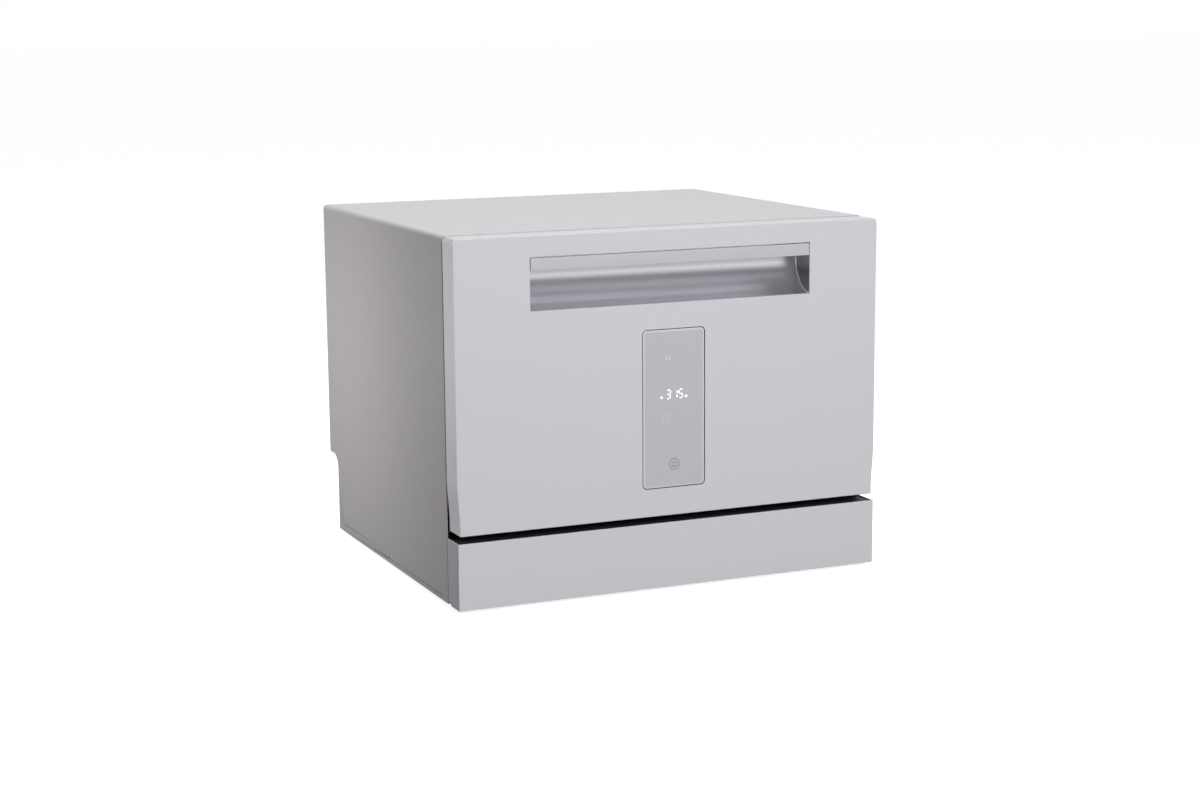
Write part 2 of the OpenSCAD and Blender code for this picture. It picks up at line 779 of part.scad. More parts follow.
// The rack's wire panels stand a clearance apart, so that each is a flat grille of its own
module dish_rack() {
    w = wire;
    x1 = rack_x - w - fit;                 // side edge of the panels between the side walls
    slope = norm([slope_y - rack_front, slope_z - floor_top]) - w / 2;
    tilt = atan2(slope_z - floor_top, slope_y - rack_front);
    up = [-cos(tilt), sin(tilt)];          // along the sloping front
    mid = [slope_y, floor_top] + w / 2 * [sin(tilt), cos(tilt)];
    upright_z = floor_top + slope * sin(tilt) + w * cos(tilt) + fit;
    color(rack_grey) {
        // floor
        slab_z(floor_low, floor_top) grid([-x1, slope_y], [x1, rack_back - w - fit], 34, 34, 3);
        // sloping part of the front
        translate([0, slope_y, floor_top]) rotate([180 - tilt, 0, 0]) translate([0, 0, -w])
            linear_extrude(height = w) grid([-x1, fit], [x1, slope], 34, slope, 3);
        // upright part of the front
        slab_y(rack_front, rack_front + w) grid([-x1, upright_z], [x1, rim_z], 34, 40, 3);
        // back
        slab_y(rack_back - w, rack_back) grid([-x1, floor_low], [x1, rim_z], 34, 40, 3);
        both_sides() {
            slab_x(rack_x - w, rack_x) difference() {
                grid([rack_front, floor_low], [rack_back, rim_z], 34, 40, 3);
                polygon([mid - 20 * up, mid + (slope + 20) * up, [rack_front - 30, floor_low - 30]]);
            }
            // axles of the rollers, clipped on beside the walls
            for (y = [roller_front_y, roller_rear_y]) {
                bar_x(rack_x + fit, rail_x + roller_w / 2 + 2.5, y, axle_z, axle_r);
                bar_x(rack_x + fit, rail_x - roller_w / 2 - 1, y, axle_z, 6);
            }
        }
        // hinge wire of the cup shelf, on two posts
        bar_y(shelf_hinge_x, shelf_y0 + 8, shelf_y1 - 8, shelf_hinge_z, 2);
        for (y = [shelf_y0 + 6, shelf_y1 - 10])
            block([shelf_hinge_x - 1.5, y, rim_z - 3], [shelf_hinge_x + 1.5, y + 4, shelf_hinge_z + 1.5]);
    }
}

plate_half = 100;
plate_mid = 25;                            // middle of the plate supports, beside the cutlery
plate_y0 = (slope_y + rack_back) / 2 - plate_pitch * (plate_rows - 1) / 2;

// One support: a floor wire with three upright tines
module plate_comb(y) {
    block([plate_mid - plate_half, y - 1.5, floor_top], [plate_mid + plate_half, y + 1.5, floor_top + 3]);
    for (dx = [-80, 0, 80]) block([plate_mid + dx - 1.5, y - 1.5, floor_top], [plate_mid + dx + 1.5, y + 1.5, floor_z + tine_h]);
}

module plate_tines() {
    color(rack_grey) for (i = [0:plate_rows - 1]) plate_comb(plate_y0 + i * plate_pitch);
}

module roller(side, y) {
    x = side * rail_x;
    color(light_grey) difference() {
        union() {
            bar_x(x - roller_w / 2, x + roller_w / 2, y, axle_z, roller_r);
            bar_x(x - roller_w / 2 - 0.8, x + roller_w / 2 + 0.8, y, axle_z, 5);
        }
        bar_x(x - roller_w, x + roller_w, y, axle_z, axle_r + running);
    }
}

cutlery_x1 = -rack_x + wire + 3 + cutlery_w;   // inner side of the basket
cutlery_x0 = cutlery_x1 - cutlery_w;
cutlery_y0 = plate_y0 + plate_pitch * (plate_rows - 1) / 2 - cutlery_l / 2;
cutlery_z = floor_top + fit;
cutlery_cells = 4;

module cutlery_basket() {
    t = 2;
    cell = (cutlery_l - t) / cutlery_cells;
    z1 = cutlery_z + cutlery_h;
    mid = (cutlery_x0 + cutlery_x1) / 2;
    y1 = cutlery_y0 + cutlery_l;
    color(light_grey) {
        difference() {
            block([cutlery_x0, cutlery_y0, cutlery_z], [cutlery_x1, y1, z1]);
            for (i = [0:cutlery_cells - 1])
                block([cutlery_x0 + t, cutlery_y0 + t + i * cell, cutlery_z + t],
                    [cutlery_x1 - t, cutlery_y0 + (i + 1) * cell, z1 + 1]);
        }
        // carrying handle across the middle
        ends = [for (i = [1, cutlery_cells - 1]) cutlery_y0 + i * cell + t / 2];
        for (y = ends) block([mid - 4, y - 2, z1 - 6], [mid + 4, y + 2, z1 + 34]);
        block([mid - 4, ends[0] - 2, z1 + 28], [mid + 4, ends[1] + 2, z1 + 34]);
    }
}

shelf_y0 = plate_y0 - 10;
shelf_y1 = shelf_y0 + 230;
shelf_hinge_x = rack_x - wire / 2;
shelf_hinge_z = rim_z + 4.5;
shelf_w = 84;

// A folding cup shelf that clips round the rack's right-hand rim
module cup_shelf() {
    x0 = shelf_hinge_x - shelf_w;
    z0 = shelf_hinge_z - 1.5;
    color(light_grey) {
        slab_z(z0, z0 + 3) grid([x0, shelf_y0], [shelf_hinge_x - 6, shelf_y1], 14, 23, 3);
        for (y = [shelf_y0 + 20, shelf_y1 - 26]) {
            block([shelf_hinge_x - 8, y, z0], [shelf_hinge_x - 3, y + 6, z0 + 3]);
            // clip round the hinge wire
            difference() {
                bar_y(shelf_hinge_x, y, y + 6, shelf_hinge_z, 4);
                bar_y(shelf_hinge_x, y - 1, y + 7, shelf_hinge_z, 2 + running);
            }
        }
    }
}

// ---------------------------------------------------------------- wash parts

// Outline of the spray arm, slightly swept
module spray_outline() {
    for (a = [0, 180]) rotate(a) hull() {
        circle(r = 21, $fn = 32);
        translate([spray_r * 0.55, 9]) circle(r = 17, $fn = 32);
        translate([spray_r - 14, -4]) circle(r = 14, $fn = 32);
    }
}

module spray_arm() {
    color(light_grey) translate([hub_x, hub_y, spray_z]) difference() {
        union() {
            linear_extrude(height = 9) spray_outline();
            cylinder(r = 24, h = 13);
            cylinder(r = 11, h = 18);
            translate([0, 0, -6]) cylinder(r = 17, h = 8);
        }
        translate([0, 0, -7]) cylinder(r = 10 + fit, h = 17);
        for (s = [-1, 1], k = [0.35, 0.5, 0.65, 0.8, 0.92])
            translate([s * k * spray_r, s * 3, 5]) cylinder(r = 1.4, h = 5);
    }
}

module sump() {
    top = basin_z - tub_t;
    well_low = base_floor + 12;
    color(dark_grey) difference() {
        union() {
            bar_z(well_x, well_y, well_low, top, well_r + 6);
            bar_z(hub_x, hub_y, top - 24, top, 22);
            // bridge between the well and the hub
            block([hub_x - 10, well_y + 20, top - 12], [well_x + 10, hub_y, top]);
            // riser that carries the spray arm
            bar_z(hub_x, hub_y, top, spray_z + 6, 10);
            bar_z(hub_x, hub_y, top - 1, top + 3, 12);
            // leg on the base
            bar_z(well_x, well_y, base_floor, well_low, 14);
        }
        bar_z(well_x, well_y, well_low + 4, top + 1, well_r + 2);
        bar_z(hub_x, hub_y, top - 25, spray_z + 7, 7);
        // outlets to the wash pump and the drain pump
        bar_y(well_x, well_y, well_y + well_r + 10, pump_z, 14);
        bar_x(well_x, well_x + well_r + 10, well_y, drain_z, 10);
    }
}

module filter_plate() {
    color(steel) difference() {
        block([hub_x + 26, well_y - 48, basin_z], [well_x + 62, hub_y + 30, basin_z + 1.5]);
        bar_z(well_x, well_y, basin_z - 1, basin_z + 2, well_r - 4);
    }
}

module filter_cup() {
    r = well_r - 5;
    z0 = basin_z - 48;
    color(light_grey) difference() {
        union() {
            bar_z(well_x, well_y, z0, basin_z + 1.5 + fit, r);
            bar_z(well_x, well_y, basin_z + 1.5 + fit, basin_z + 4.3, r + 4);
        }
        bar_z(well_x, well_y, z0 + 2, basin_z + 5, r - 2);
        // windows that the mesh covers
        for (a = [0:60:300]) translate([well_x, well_y, 0]) rotate(a) block([r - 8, -9, z0 + 8], [r + 8, 9, basin_z - 12]);
    }
    // grip across the top
    color(light_grey) block([well_x - r + 1, well_y - 2, basin_z - 2], [well_x + r - 1, well_y + 2, basin_z + 6]);
}

module salt_cap() {
    color(light_grey) {
        bar_z(salt_x, salt_y, basin_z + fit, basin_z + 7, salt_r);
        bar_z(salt_x, salt_y, basin_z - 14, basin_z + fit, salt_r - 6);
        block([salt_x - salt_r + 4, salt_y - 3, basin_z + 7], [salt_x + salt_r - 4, salt_y + 3, basin_z + 10]);
    }
}

tank_x0 = -basin_x + 15;
tank_x1 = -62;
tank_y1 = basin_mid + 95;

module softener_tank() {
    top = basin_z - tub_t;
    color(light_grey) difference() {
        union() {
            block([tank_x0, salt_y - 38, base_floor], [tank_x1, tank_y1, top - 14]);
            bar_z(salt_x, salt_y, top - 15, top, salt_r);
        }
        block([tank_x0 + 3, salt_y - 35, base_floor + 3], [tank_x1 - 3, tank_y1 - 3, top - 17]);
        bar_z(salt_x, salt_y, top - 20, top + 1, salt_r - 5);
    }
}

module wash_pump() {
    y0 = well_y + well_r + 6;
    y1 = pump_y + 8;
    y2 = y1 + 86;
    color(black) difference() {
        union() {
            bar_y(well_x, y0, y1, pump_z, 17);
            bar_y(well_x, pump_y - 30, y1, pump_z, pump_r);
            bar_y(well_x, y1, y2, pump_z, pump_r - 5);
            // outlet towards the heater
            bar_x(heater_x + 16, well_x, pump_y - 12, pump_z + pump_r - 14, 11);
            // cradle
            block([well_x - 26, y1 + 8, base_floor], [well_x + 26, y1 + 22, pump_z]);
            block([well_x - 26, y2 - 22, base_floor], [well_x + 26, y2 - 8, pump_z]);
        }
        // pump chamber, inlet, outlet and rotor space
        bar_y(well_x, pump_y - 26, y1 - 4, pump_z, pump_r - 4);
        bar_y(well_x, y0 - 1, pump_y - 25, pump_z, 14);
        bar_x(heater_x + 15, well_x - 10, pump_y - 12, pump_z + pump_r - 14, 8.5);
        bar_y(well_x, y1 - 5, y2 - 6, pump_z, 20);
    }
}

module wash_impeller() {
    y1 = pump_y + 8;
    color(light_grey) {
        bar_y(well_x, pump_y - 8, pump_y + 1, pump_z, 26);
        for (a = [0:60:300]) translate([well_x, pump_y - 8, pump_z]) rotate([0, a, 0])
            translate([8, -9, -1.5]) cube([17, 9.5, 3]);
        bar_y(well_x, pump_y, y1 + 80 - fit, pump_z, 4);
        bar_y(well_x, y1 + 12, y1 + 62, pump_z, 18);
    }
}

module flow_heater() {
    y0 = pump_y - 22;
    y1 = pump_y + 70;
    z = pump_z + pump_r - 14;
    color(steel) {
        difference() {
            bar_y(heater_x, y0, y1, z, 16);
            bar_y(heater_x, y0 + 2, y1 - 2, z, 14);
            // way in from the pump
            bar_x(heater_x, heater_x + 20, pump_y - 12, z, 8.5);
        }
        // feed up to the spray hub, and a foot on the base
        bar_z(hub_x, hub_y, z + 14, basin_z - tub_t - 24, 9);
        block([heater_x - 4, y1 - 20, base_floor], [heater_x + 4, y1 - 12, z - 14.5]);
    }
}

module drain_pump() {
    x0 = drain_x + 2;
    color(black) difference() {
        union() {
            bar_x(x0, x0 + 30, well_y, drain_z, 24);
            bar_x(x0 + 30, x0 + 66, well_y, drain_z, 18);
            bar_y(x0 + 12, well_y, well_y + 42, drain_z + 10, 9);
            block([x0 + 4, well_y - 14, base_floor], [x0 + 60, well_y + 14, drain_z - 14]);
        }
        bar_x(x0 - 1, x0 + 27, well_y, drain_z, 21);
        bar_y(x0 + 12, well_y + 10, well_y + 43, drain_z + 10, 6.5);
        bar_x(x0 + 26, x0 + 60, well_y, drain_z, 12);
    }
}

module drain_impeller() {
    x0 = drain_x + 2;
    color(light_grey) {
        bar_x(x0 + 8, x0 + 58, well_y, drain_z, 3);
        bar_x(x0 + 30, x0 + 52, well_y, drain_z, 11);
        for (a = [0, 90]) translate([x0 + 8, well_y, drain_z]) rotate([a, 0, 0]) translate([0, -16, -1.5]) cube([14, 32, 3]);
    }
}

// Round pipe along a list of points, with a slightly larger ball at each bend
module pipe(points, r) {
    for (i = [0:len(points) - 2]) {
        a = points[i];
        b = points[i + 1];
        d = b - a;
        translate(a) rotate([0, acos(d.z / norm(d)), atan2(d.y, d.x)]) cylinder(r = r, h = norm(d));
        if (i > 0) translate(a) sphere(r = r * 1.12, $fn = 32);
    }
}

drain_out_y = well_y + 42;

module drain_pipe() {
    x0 = drain_x + 14;
    z0 = drain_z + 10;
    z1 = port_z;
    end_y = base_rear - 11;
    color(dark_grey) {
        pipe([[x0, drain_out_y + fit, z0], [x0, end_y - 50, z1], [outlet_x, end_y - 16, z1],
            [outlet_x, end_y + 4, z1]], 8);
        bar_y(outlet_x, end_y, base_rear + drain_len, port_z, drain_r);
        bar_y(outlet_x, base_rear + fit, base_rear + 3, port_z, drain_r + 4);
    }
}

module inlet_valve() {
    y0 = base_rear;
    color(dark_grey) {
        bar_y(inlet_x, y0 - 30, y0 + 4 + inlet_len, port_z, inlet_r);
        bar_y(inlet_x, y0 + fit, y0 + 4, port_z, inlet_r + 4);
        block([inlet_x - 14, y0 - 42, port_z - 14], [inlet_x + 14, y0 - 20, port_z + 20]);
        bar_z(inlet_x, y0 - 31, port_z - 36, port_z - 14, 11);
        bar_z(inlet_x, y0 - 31, base_floor, port_z - 36, 5);
    }
}

breaker_x1 = -tub_in - tub_t - 5;
breaker_x0 = -case_in + 4;
breaker_y = tub_back - 80;

module inlet_pipe() {
    z = port_z + 44;
    y = base_rear - 31;
    x = (breaker_x0 + breaker_x1) / 2;
    color(light_grey) pipe([[inlet_x, y, port_z + 20], [inlet_x, y, z], [x, y, z],
        [x, breaker_y, z], [x, breaker_y, ledge_z + 20]], 5);
}

module air_breaker() {
    z0 = ledge_z + 20;
    z1 = roof_z - 20;
    color(light_grey) {
        difference() {
            block([breaker_x0, breaker_y - 150, z0], [breaker_x1, breaker_y + 40, z1]);
            block([breaker_x0 + 2, breaker_y - 148, z0 + 2], [breaker_x1 - 2, breaker_y + 38, z1 - 2]);
        }
        // bosses on the tub's side
        for (y = [breaker_y - 130, breaker_y + 20], z = [z0 + 30, z1 - 30])
            bar_x(breaker_x1, -tub_in - tub_t, y, z, 6);
    }
}

module overflow_float() {
    color(light_grey) {
        bar_z(float_x, float_y, base_floor + 8 + fit, base_floor + 24, 24);
        bar_z(float_x, float_y, base_floor + fit, base_floor + 34, 3);
    }
}

module float_switch() {
    z = base_floor + 44;
    color(black) {
        block([float_x - 10, float_y - 14, z], [float_x + 10, float_y + 14, z + 16]);
        block([float_x - 4, float_y + 14, base_floor], [float_x + 4, float_y + 32, base_floor + 3]);
        block([float_x - 4, float_y + 27, base_floor], [float_x + 4, float_y + 32, z + 16]);
        block([float_x - 4, float_y + 10, z + 10], [float_x + 4, float_y + 32, z + 16]);
    }
}

module cord_gland() {
    y = base_rear;
    color(black) difference() {
        union() {
            bar_y(gland_x, y - wall - 5, y + 12, port_z, cord_r + 3 - running);
            bar_y(gland_x, y + fit, y + 4, port_z, cord_r + 6);
            bar_y(gland_x, y - wall - 5, y - wall - fit, port_z, cord_r + 5);
        }
        bar_y(gland_x, y - 20, y + 20, port_z, cord_r);
    }
}

module casing_screws() {
    color(steel) both_sides() for (y = screw_ys) bar_x(base_x, half_w - 0.1, y, screw_z, 3);
}

module rear_screws() {
    y = rear_y - 1.5;
    color(steel) {
        both_sides() for (z = [recess_z + 20, (recess_z + body_h) / 2, body_h - 18]) bar_y(half_w - 14, y, y + 1.4, z, 3.6);
        bar_y(0, y, y + 1.4, body_h - 18, 3.6);
    }
}

// ---------------------------------------------------------------- nodes

outer_casing();
rear_panel();
base_pan();
plinth();
tub();
tub_seal();
rack_rails();
latch_body();
latch_pawl();
hinge_brackets();
hinge_pins();
door_springs();
door_skin();
grip_scoop();
grip_strip();
grip_ends();
touch_glass();
control_case();
control_board();
door_liner();
door_strike();
hinge_arms();
door_screws();
dispenser_body();
dispenser_lid();
lid_button();
rinse_cap();
dish_rack();
plate_tines();
cutlery_basket();
cup_shelf();
roller(-1, roller_front_y);  // roller_front_left
roller(1, roller_front_y);  // roller_front_right
roller(-1, roller_rear_y);  // roller_rear_left
roller(1, roller_rear_y);  // roller_rear_right
spray_arm();
sump();
filter_plate();
filter_cup();
salt_cap();
softener_tank();
wash_pump();
wash_impeller();
flow_heater();
drain_pump();
drain_impeller();
inlet_valve();
inlet_pipe();
drain_pipe();
air_breaker();
overflow_float();
float_switch();
cord_gland();
casing_screws();
rear_screws();
foot(-foot_x, foot_front);  // foot_front_left
foot(foot_x, foot_front);  // foot_front_right
foot(-foot_x, foot_rear);  // foot_rear_left
foot(foot_x, foot_rear);  // foot_rear_right
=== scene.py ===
"""Looks of the countertop dishwasher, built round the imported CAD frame. Metres."""

import math

import bmesh
import bpy
from mathutils import Matrix, Vector


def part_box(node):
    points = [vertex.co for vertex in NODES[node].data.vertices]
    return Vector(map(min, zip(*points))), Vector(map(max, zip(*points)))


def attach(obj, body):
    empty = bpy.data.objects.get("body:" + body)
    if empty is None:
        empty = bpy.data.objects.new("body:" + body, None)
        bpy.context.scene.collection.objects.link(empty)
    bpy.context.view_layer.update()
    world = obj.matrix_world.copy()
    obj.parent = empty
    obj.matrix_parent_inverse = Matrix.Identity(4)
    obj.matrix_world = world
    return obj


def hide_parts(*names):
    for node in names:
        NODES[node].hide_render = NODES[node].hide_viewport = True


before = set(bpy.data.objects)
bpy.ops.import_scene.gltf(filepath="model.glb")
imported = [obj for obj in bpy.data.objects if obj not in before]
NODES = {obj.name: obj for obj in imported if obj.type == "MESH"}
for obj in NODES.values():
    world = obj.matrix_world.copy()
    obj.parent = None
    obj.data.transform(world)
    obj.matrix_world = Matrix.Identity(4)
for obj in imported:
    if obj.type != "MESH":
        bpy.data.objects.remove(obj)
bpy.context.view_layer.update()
MM = 0.001
MERGE = 1e-6  # points nearer than this are one point
SHARP = math.radians(32.0)  # edges that turn by more than this are rounded

# ------------------------------------------------------------------ values of the construction
HALF_W = 0.275
FRONT_Y = -0.250
AXIS_Y, AXIS_Z = -0.226, 0.129  # the door's hinge
CASE_FRONT, SHADE_LIP_INSET = -0.2115, 0.0007
SEAL_FACE, REAR_FACE = -0.219, 0.2485  # the sheets that the door's and the rear panel's screws hold
RACK_X, RACK_FRONT, RACK_BACK = 0.207, -0.184, 0.172
SLOPE_Y, SLOPE_Z = -0.120, 0.212  # where the rack's floor starts to rise, and how high it comes
FLOOR_Z, RIM_Z = 0.166, 0.256
AXLE_Z = 0.1683
ROLLER_YS = (-0.094, 0.120)
PLATE_Y0, PLATE_PITCH, PLATE_ROWS = -0.086, 0.028, 9
GRIP_X, GRIP_LOW, GRIP_TOP, GRIP_DEPTH = 0.182, 0.350, 0.412, 0.033
WELL = (0.072, -0.082)
BASE_REAR, PORT_X, PORT_Z = 0.2135, 0.150, 0.0555
CORNERS = ("front_left", "front_right", "rear_left", "rear_right")

# ------------------------------------------------------------------ levels of the studio
AMBIENT, AMBIENT_LEFT = 0.30, 0.06  # light from the right half and from the far left
DIM_END = 0.05  # the dim end of the studio, which only metal and glass mirror
FLOOR_GLOW, FLOOR_MIRRORED = 0.85, 0.46
FLOOR_BOUNCE = (0.22, 0.215, 0.217)
CAMERA_PLACE = (-1.1201, -2.5853, 0.6898)
CAMERA_ANGLES = (-23.682, 9.994, -0.425)  # azimuth, elevation and roll
SENSOR, LENS = 36.0, 66.43


# ------------------------------------------------------------------ materials
class Nodes:
    """A material's node tree with short helpers."""

    def __init__(self, name):
        self.mat = bpy.data.materials.new(name)
        self.mat.use_nodes = True
        self.tree = self.mat.node_tree
        self.tree.nodes.clear()
        self.out = self.add("ShaderNodeOutputMaterial")
        self.bsdf = self.add("ShaderNodeBsdfPrincipled")
        self.link(self.bsdf.outputs[0], self.out.inputs[0])
        self.coord = self.add("ShaderNodeTexCoord").outputs["Object"]

    def add(self, kind, **inputs):
        node = self.tree.nodes.new(kind)
        for key, value in inputs.items():
            node.inputs[key.replace("_", " ")].default_value = value
        return node

    def link(self, a, b):
        self.tree.links.new(a, b)

    def set(self, **values):
        for key, value in values.items():
            self.bsdf.inputs[key.replace("_", " ")].default_value = value

    def noise(self, scale, detail=2.0, rough=0.5, stretch=(1, 1, 1)):
        mapping = self.add("ShaderNodeMapping")
        mapping.inputs["Scale"].default_value = stretch
        self.link(self.coord, mapping.inputs["Vector"])
        tex = self.add("ShaderNodeTexNoise", Scale=scale, Detail=detail, Roughness=rough)
        self.link(mapping.outputs[0], tex.inputs["Vector"])
        return tex.outputs["Fac"]

    def ramp(self, fac, stops):
        node = self.tree.nodes.new("ShaderNodeValToRGB")
        items = node.color_ramp.elements
        while len(items) < len(stops):
            items.new(0.5)
        for item, (place, colour) in zip(items, stops):
            item.position = place
            item.color = (*colour, 1)
        self.link(fac, node.inputs[0])
        return node.outputs[0]

    def span(self, fac, low, high, a=0.3, b=0.7):
        node = self.add("ShaderNodeMapRange")
        for key, value in (("From Min", a), ("From Max", b), ("To Min", low), ("To Max", high)):
            node.inputs[key].default_value = value
        self.link(fac, node.inputs["Value"])
        return node.outputs[0]

    def bump(self, fac, strength, distance, before=None):
        node = self.add("ShaderNodeBump", Strength=strength, Distance=distance)
        self.link(fac, node.inputs["Height"])
        if before is not None:
            self.link(before, node.inputs["Normal"])
        return node.outputs[0]

    def colour(self, socket):
        self.link(socket, self.bsdf.inputs["Base Color"])

    def roughness(self, socket):
        self.link(socket, self.bsdf.inputs["Roughness"])

    def normal(self, socket):
        self.link(socket, self.bsdf.inputs["Normal"])


def srgb(r, g, b):
    """A colour of 0 to 255, as the linear numbers that the shaders take."""

    def channel(c):
        c /= 255
        return c / 12.92 if c <= 0.04045 else ((c + 0.055) / 1.055) ** 2.4

    return (channel(r), channel(g), channel(b))


def shade(colour, k):
    return tuple(min(1, c * k) for c in colour)


def tones(colour, dark, light, low=0.3, high=0.7):
    """Two stops for a ramp, one darker and one lighter than the colour."""
    return [(low, shade(colour, dark)), (high, shade(colour, light))]


def silver_paint(name, colour, metallic=0.06, spec=0.2):
    m = Nodes(name)
    m.set(Metallic=metallic, Coat_Weight=0.05, Coat_Roughness=0.3, Specular_IOR_Level=spec)
    flakes = m.noise(2600, 1.0)
    dark, light = tones(colour, 0.965, 1.045, high=0.72)
    m.colour(m.ramp(flakes, [dark, (0.5, colour), light]))
    m.roughness(m.span(m.noise(34, 3), 0.40, 0.47))
    peel = m.bump(m.noise(620, 2), 0.05, 0.0002)
    m.normal(m.bump(flakes, 0.04, 0.00005, peel))
    return m.mat


def brushed(name, colour, stretch, metallic=0.85, rough=0.30, strength=0.03, scale=900,
            turned=0.4, streak=0.05):
    """Steel with fine lines along the axis whose number in stretch is small."""
    m = Nodes(name)
    m.set(Metallic=metallic, Anisotropic=turned)
    lines = m.noise(scale, 3, 0.6, stretch)
    broad = m.noise(60, 2, 0.5, stretch)
    dark, light = tones(colour, 1 - streak, 1 + streak, 0.25, 0.75)
    m.colour(m.ramp(lines, [dark, (0.5, colour), light]))
    mix = m.add("ShaderNodeMath")
    mix.operation = "MULTIPLY_ADD"
    m.link(broad, mix.inputs[0])
    mix.inputs[1].default_value = 0.35
    m.link(lines, mix.inputs[2])
    m.roughness(m.span(mix.outputs[0], rough - 0.3 * streak, rough + 0.5 * streak, 0.4, 0.95))
    m.normal(m.bump(lines, strength, 0.00008))
    return m.mat


def plastic(name, colour, rough=0.42, grain=1500, depth=0.12, spec=0.5, speck=0.05):
    m = Nodes(name)
    m.set(Specular_IOR_Level=spec)
    m.colour(m.ramp(m.noise(22, 3), tones(colour, 1 - speck, 1 + speck)))
    m.roughness(m.span(m.noise(70, 3), rough - 0.05, rough + 0.06))
    m.normal(m.bump(m.noise(grain, 2), depth, 0.00012))
    return m.mat


def rubber(name, colour):
    return plastic(name, colour, rough=0.62, grain=900, depth=0.22, spec=0.3, speck=0.1)


def height_painted_shade(name, low, high, stops):
    """Plastic whose tone changes with height, from low to high: painted shade and light, not the
    plastic's own colour.
    """
    m = Nodes(name)
    m.set(Specular_IOR_Level=0.3)
    split = m.add("ShaderNodeSeparateXYZ")
    m.link(m.coord, split.inputs[0])
    m.colour(m.ramp(m.span(split.outputs["Z"], 0.0, 1.0, low, high), stops))
    m.roughness(m.span(m.noise(70, 3), 0.37, 0.48))
    m.normal(m.bump(m.noise(1500, 2), 0.12, 0.00012))
    return m.mat


def zinc(name, colour):
    m = Nodes(name)
    m.set(Metallic=0.75)
    cells = m.add("ShaderNodeTexVoronoi", Scale=95.0)
    m.link(m.coord, cells.inputs["Vector"])
    m.colour(m.ramp(cells.outputs["Color"], tones(colour, 0.92, 1.06, 0.1, 0.9)))
    m.roughness(m.span(m.noise(130, 3), 0.33, 0.46))
    m.normal(m.bump(m.noise(420, 2), 0.05, 0.0001))
    return m.mat


def glossy(name, colour, rough):
    m = Nodes(name)
    m.set(Coat_Weight=0.6, Coat_Roughness=0.04, Metallic=0.1)
    m.colour(m.ramp(m.noise(900, 1), tones(colour, 0.985, 1.015)))
    m.roughness(m.span(m.noise(40, 3), rough - 0.03, rough + 0.05))
    return m.mat


def lamp(name, colour, strength):
    m = Nodes(name)
    m.set(Emission_Color=(*colour, 1), Emission_Strength=strength, Roughness=0.4)
    m.colour(m.ramp(m.noise(300, 1), [(0.3, shade(colour, 0.9)), (0.7, colour)]))
    return m.mat


STEEL = srgb(205, 206, 208)
FINE = {"stretch": (0.008, 1, 1), "strength": 0.012, "scale": 1400, "streak": 0.03}
M = {
    "paint": silver_paint("silver_paint", srgb(201, 200, 205)),
    # a lighter copy of the door paint for the door's side faces: painted light, so they read
    # lighter than the casing's side
    "side_painted_light": silver_paint("door_side_painted_light", srgb(236, 234, 237), metallic=0.15, spec=0.3),
    "case": silver_paint("casing_paint", srgb(194, 190, 193)),
    "grip": brushed("grip_steel", srgb(246, 246, 251), metallic=0.92, rough=0.25, turned=0.0,
                    **FINE),
    "strip": brushed("strip_steel", srgb(243, 243, 248), rough=0.28, **FINE),
    "steel": brushed("tub_steel", STEEL, (0.04, 1, 1), rough=0.27),
    "liner": brushed("liner_steel", STEEL, (1, 1, 0.04), rough=0.29),
    "zinc": zinc("zinc_sheet", srgb(182, 184, 187)),
    "black": plastic("black_plastic", (0.032, 0.032, 0.034), rough=0.52, depth=0.2, spec=0.25),
    "dark": plastic("dark_plastic", (0.05, 0.05, 0.055), rough=0.5, depth=0.16),
    # the grip's end walls: painted shade, darker at mid-height and lighter towards the top and the
    # bottom of the recess
    "end": height_painted_shade("grip_end_painted_shade", GRIP_LOW, 0.398, (
        (0.10, srgb(134, 135, 139)), (0.38, srgb(118, 119, 123)), (0.54, srgb(100, 101, 105)),
        (0.72, srgb(136, 137, 141)), (0.92, srgb(166, 167, 171)))),
    "rubber": rubber("black_rubber", (0.018, 0.018, 0.02)),
    "hose": rubber("grey_hose", (0.16, 0.165, 0.175)),
    "glass": glossy("touch_glass", srgb(188, 188, 192), 0.10),
    # the bevel's lighter colour is a painted highlight, on top of its real reflections
    "bevel": glossy("glass_bevel_painted_highlight", srgb(205, 205, 209), 0.12),
    "board": plastic("circuit_board", (0.02, 0.11, 0.05), rough=0.3, grain=300, depth=0.3),
    "light": plastic("light_plastic", srgb(208, 210, 212), rough=0.34, depth=0.08),
    "nylon": plastic("grey_nylon", srgb(150, 153, 158), rough=0.40, depth=0.1),
    "blue": plastic("blue_plastic", srgb(92, 110, 140), rough=0.36),
    "wire": plastic("coated_wire", srgb(176, 180, 186), rough=0.30, grain=700, depth=0.08),
    "bolt": zinc("bright_zinc", srgb(206, 207, 210)),
    "foam": plastic("white_foam", srgb(226, 226, 226), rough=0.7, grain=380, depth=0.5),
    "lit": lamp("lit_digits", (1.0, 1.0, 1.0), 1.0),
    "faint": lamp("lit_icon", srgb(205, 203, 217), 0.03),
    "print": plastic("printed_mark", srgb(104, 104, 109), rough=0.3, depth=0.02),
    # near-black pieces in the gaps: painted shade where the gaps are dark
    "gap_shade": plastic("gap_painted_shade", (0.012, 0.012, 0.013), rough=0.7, spec=0.15),
}


def paint(obj, material):
    obj.data.materials.clear()
    obj.data.materials.append(material)


# ------------------------------------------------------------------ mesh helpers
def even_normals(obj, weight=100):
    """Shading that follows the large faces."""
    normals = obj.modifiers.new("normals", "WEIGHTED_NORMAL")
    normals.keep_sharp = True
    normals.weight = weight


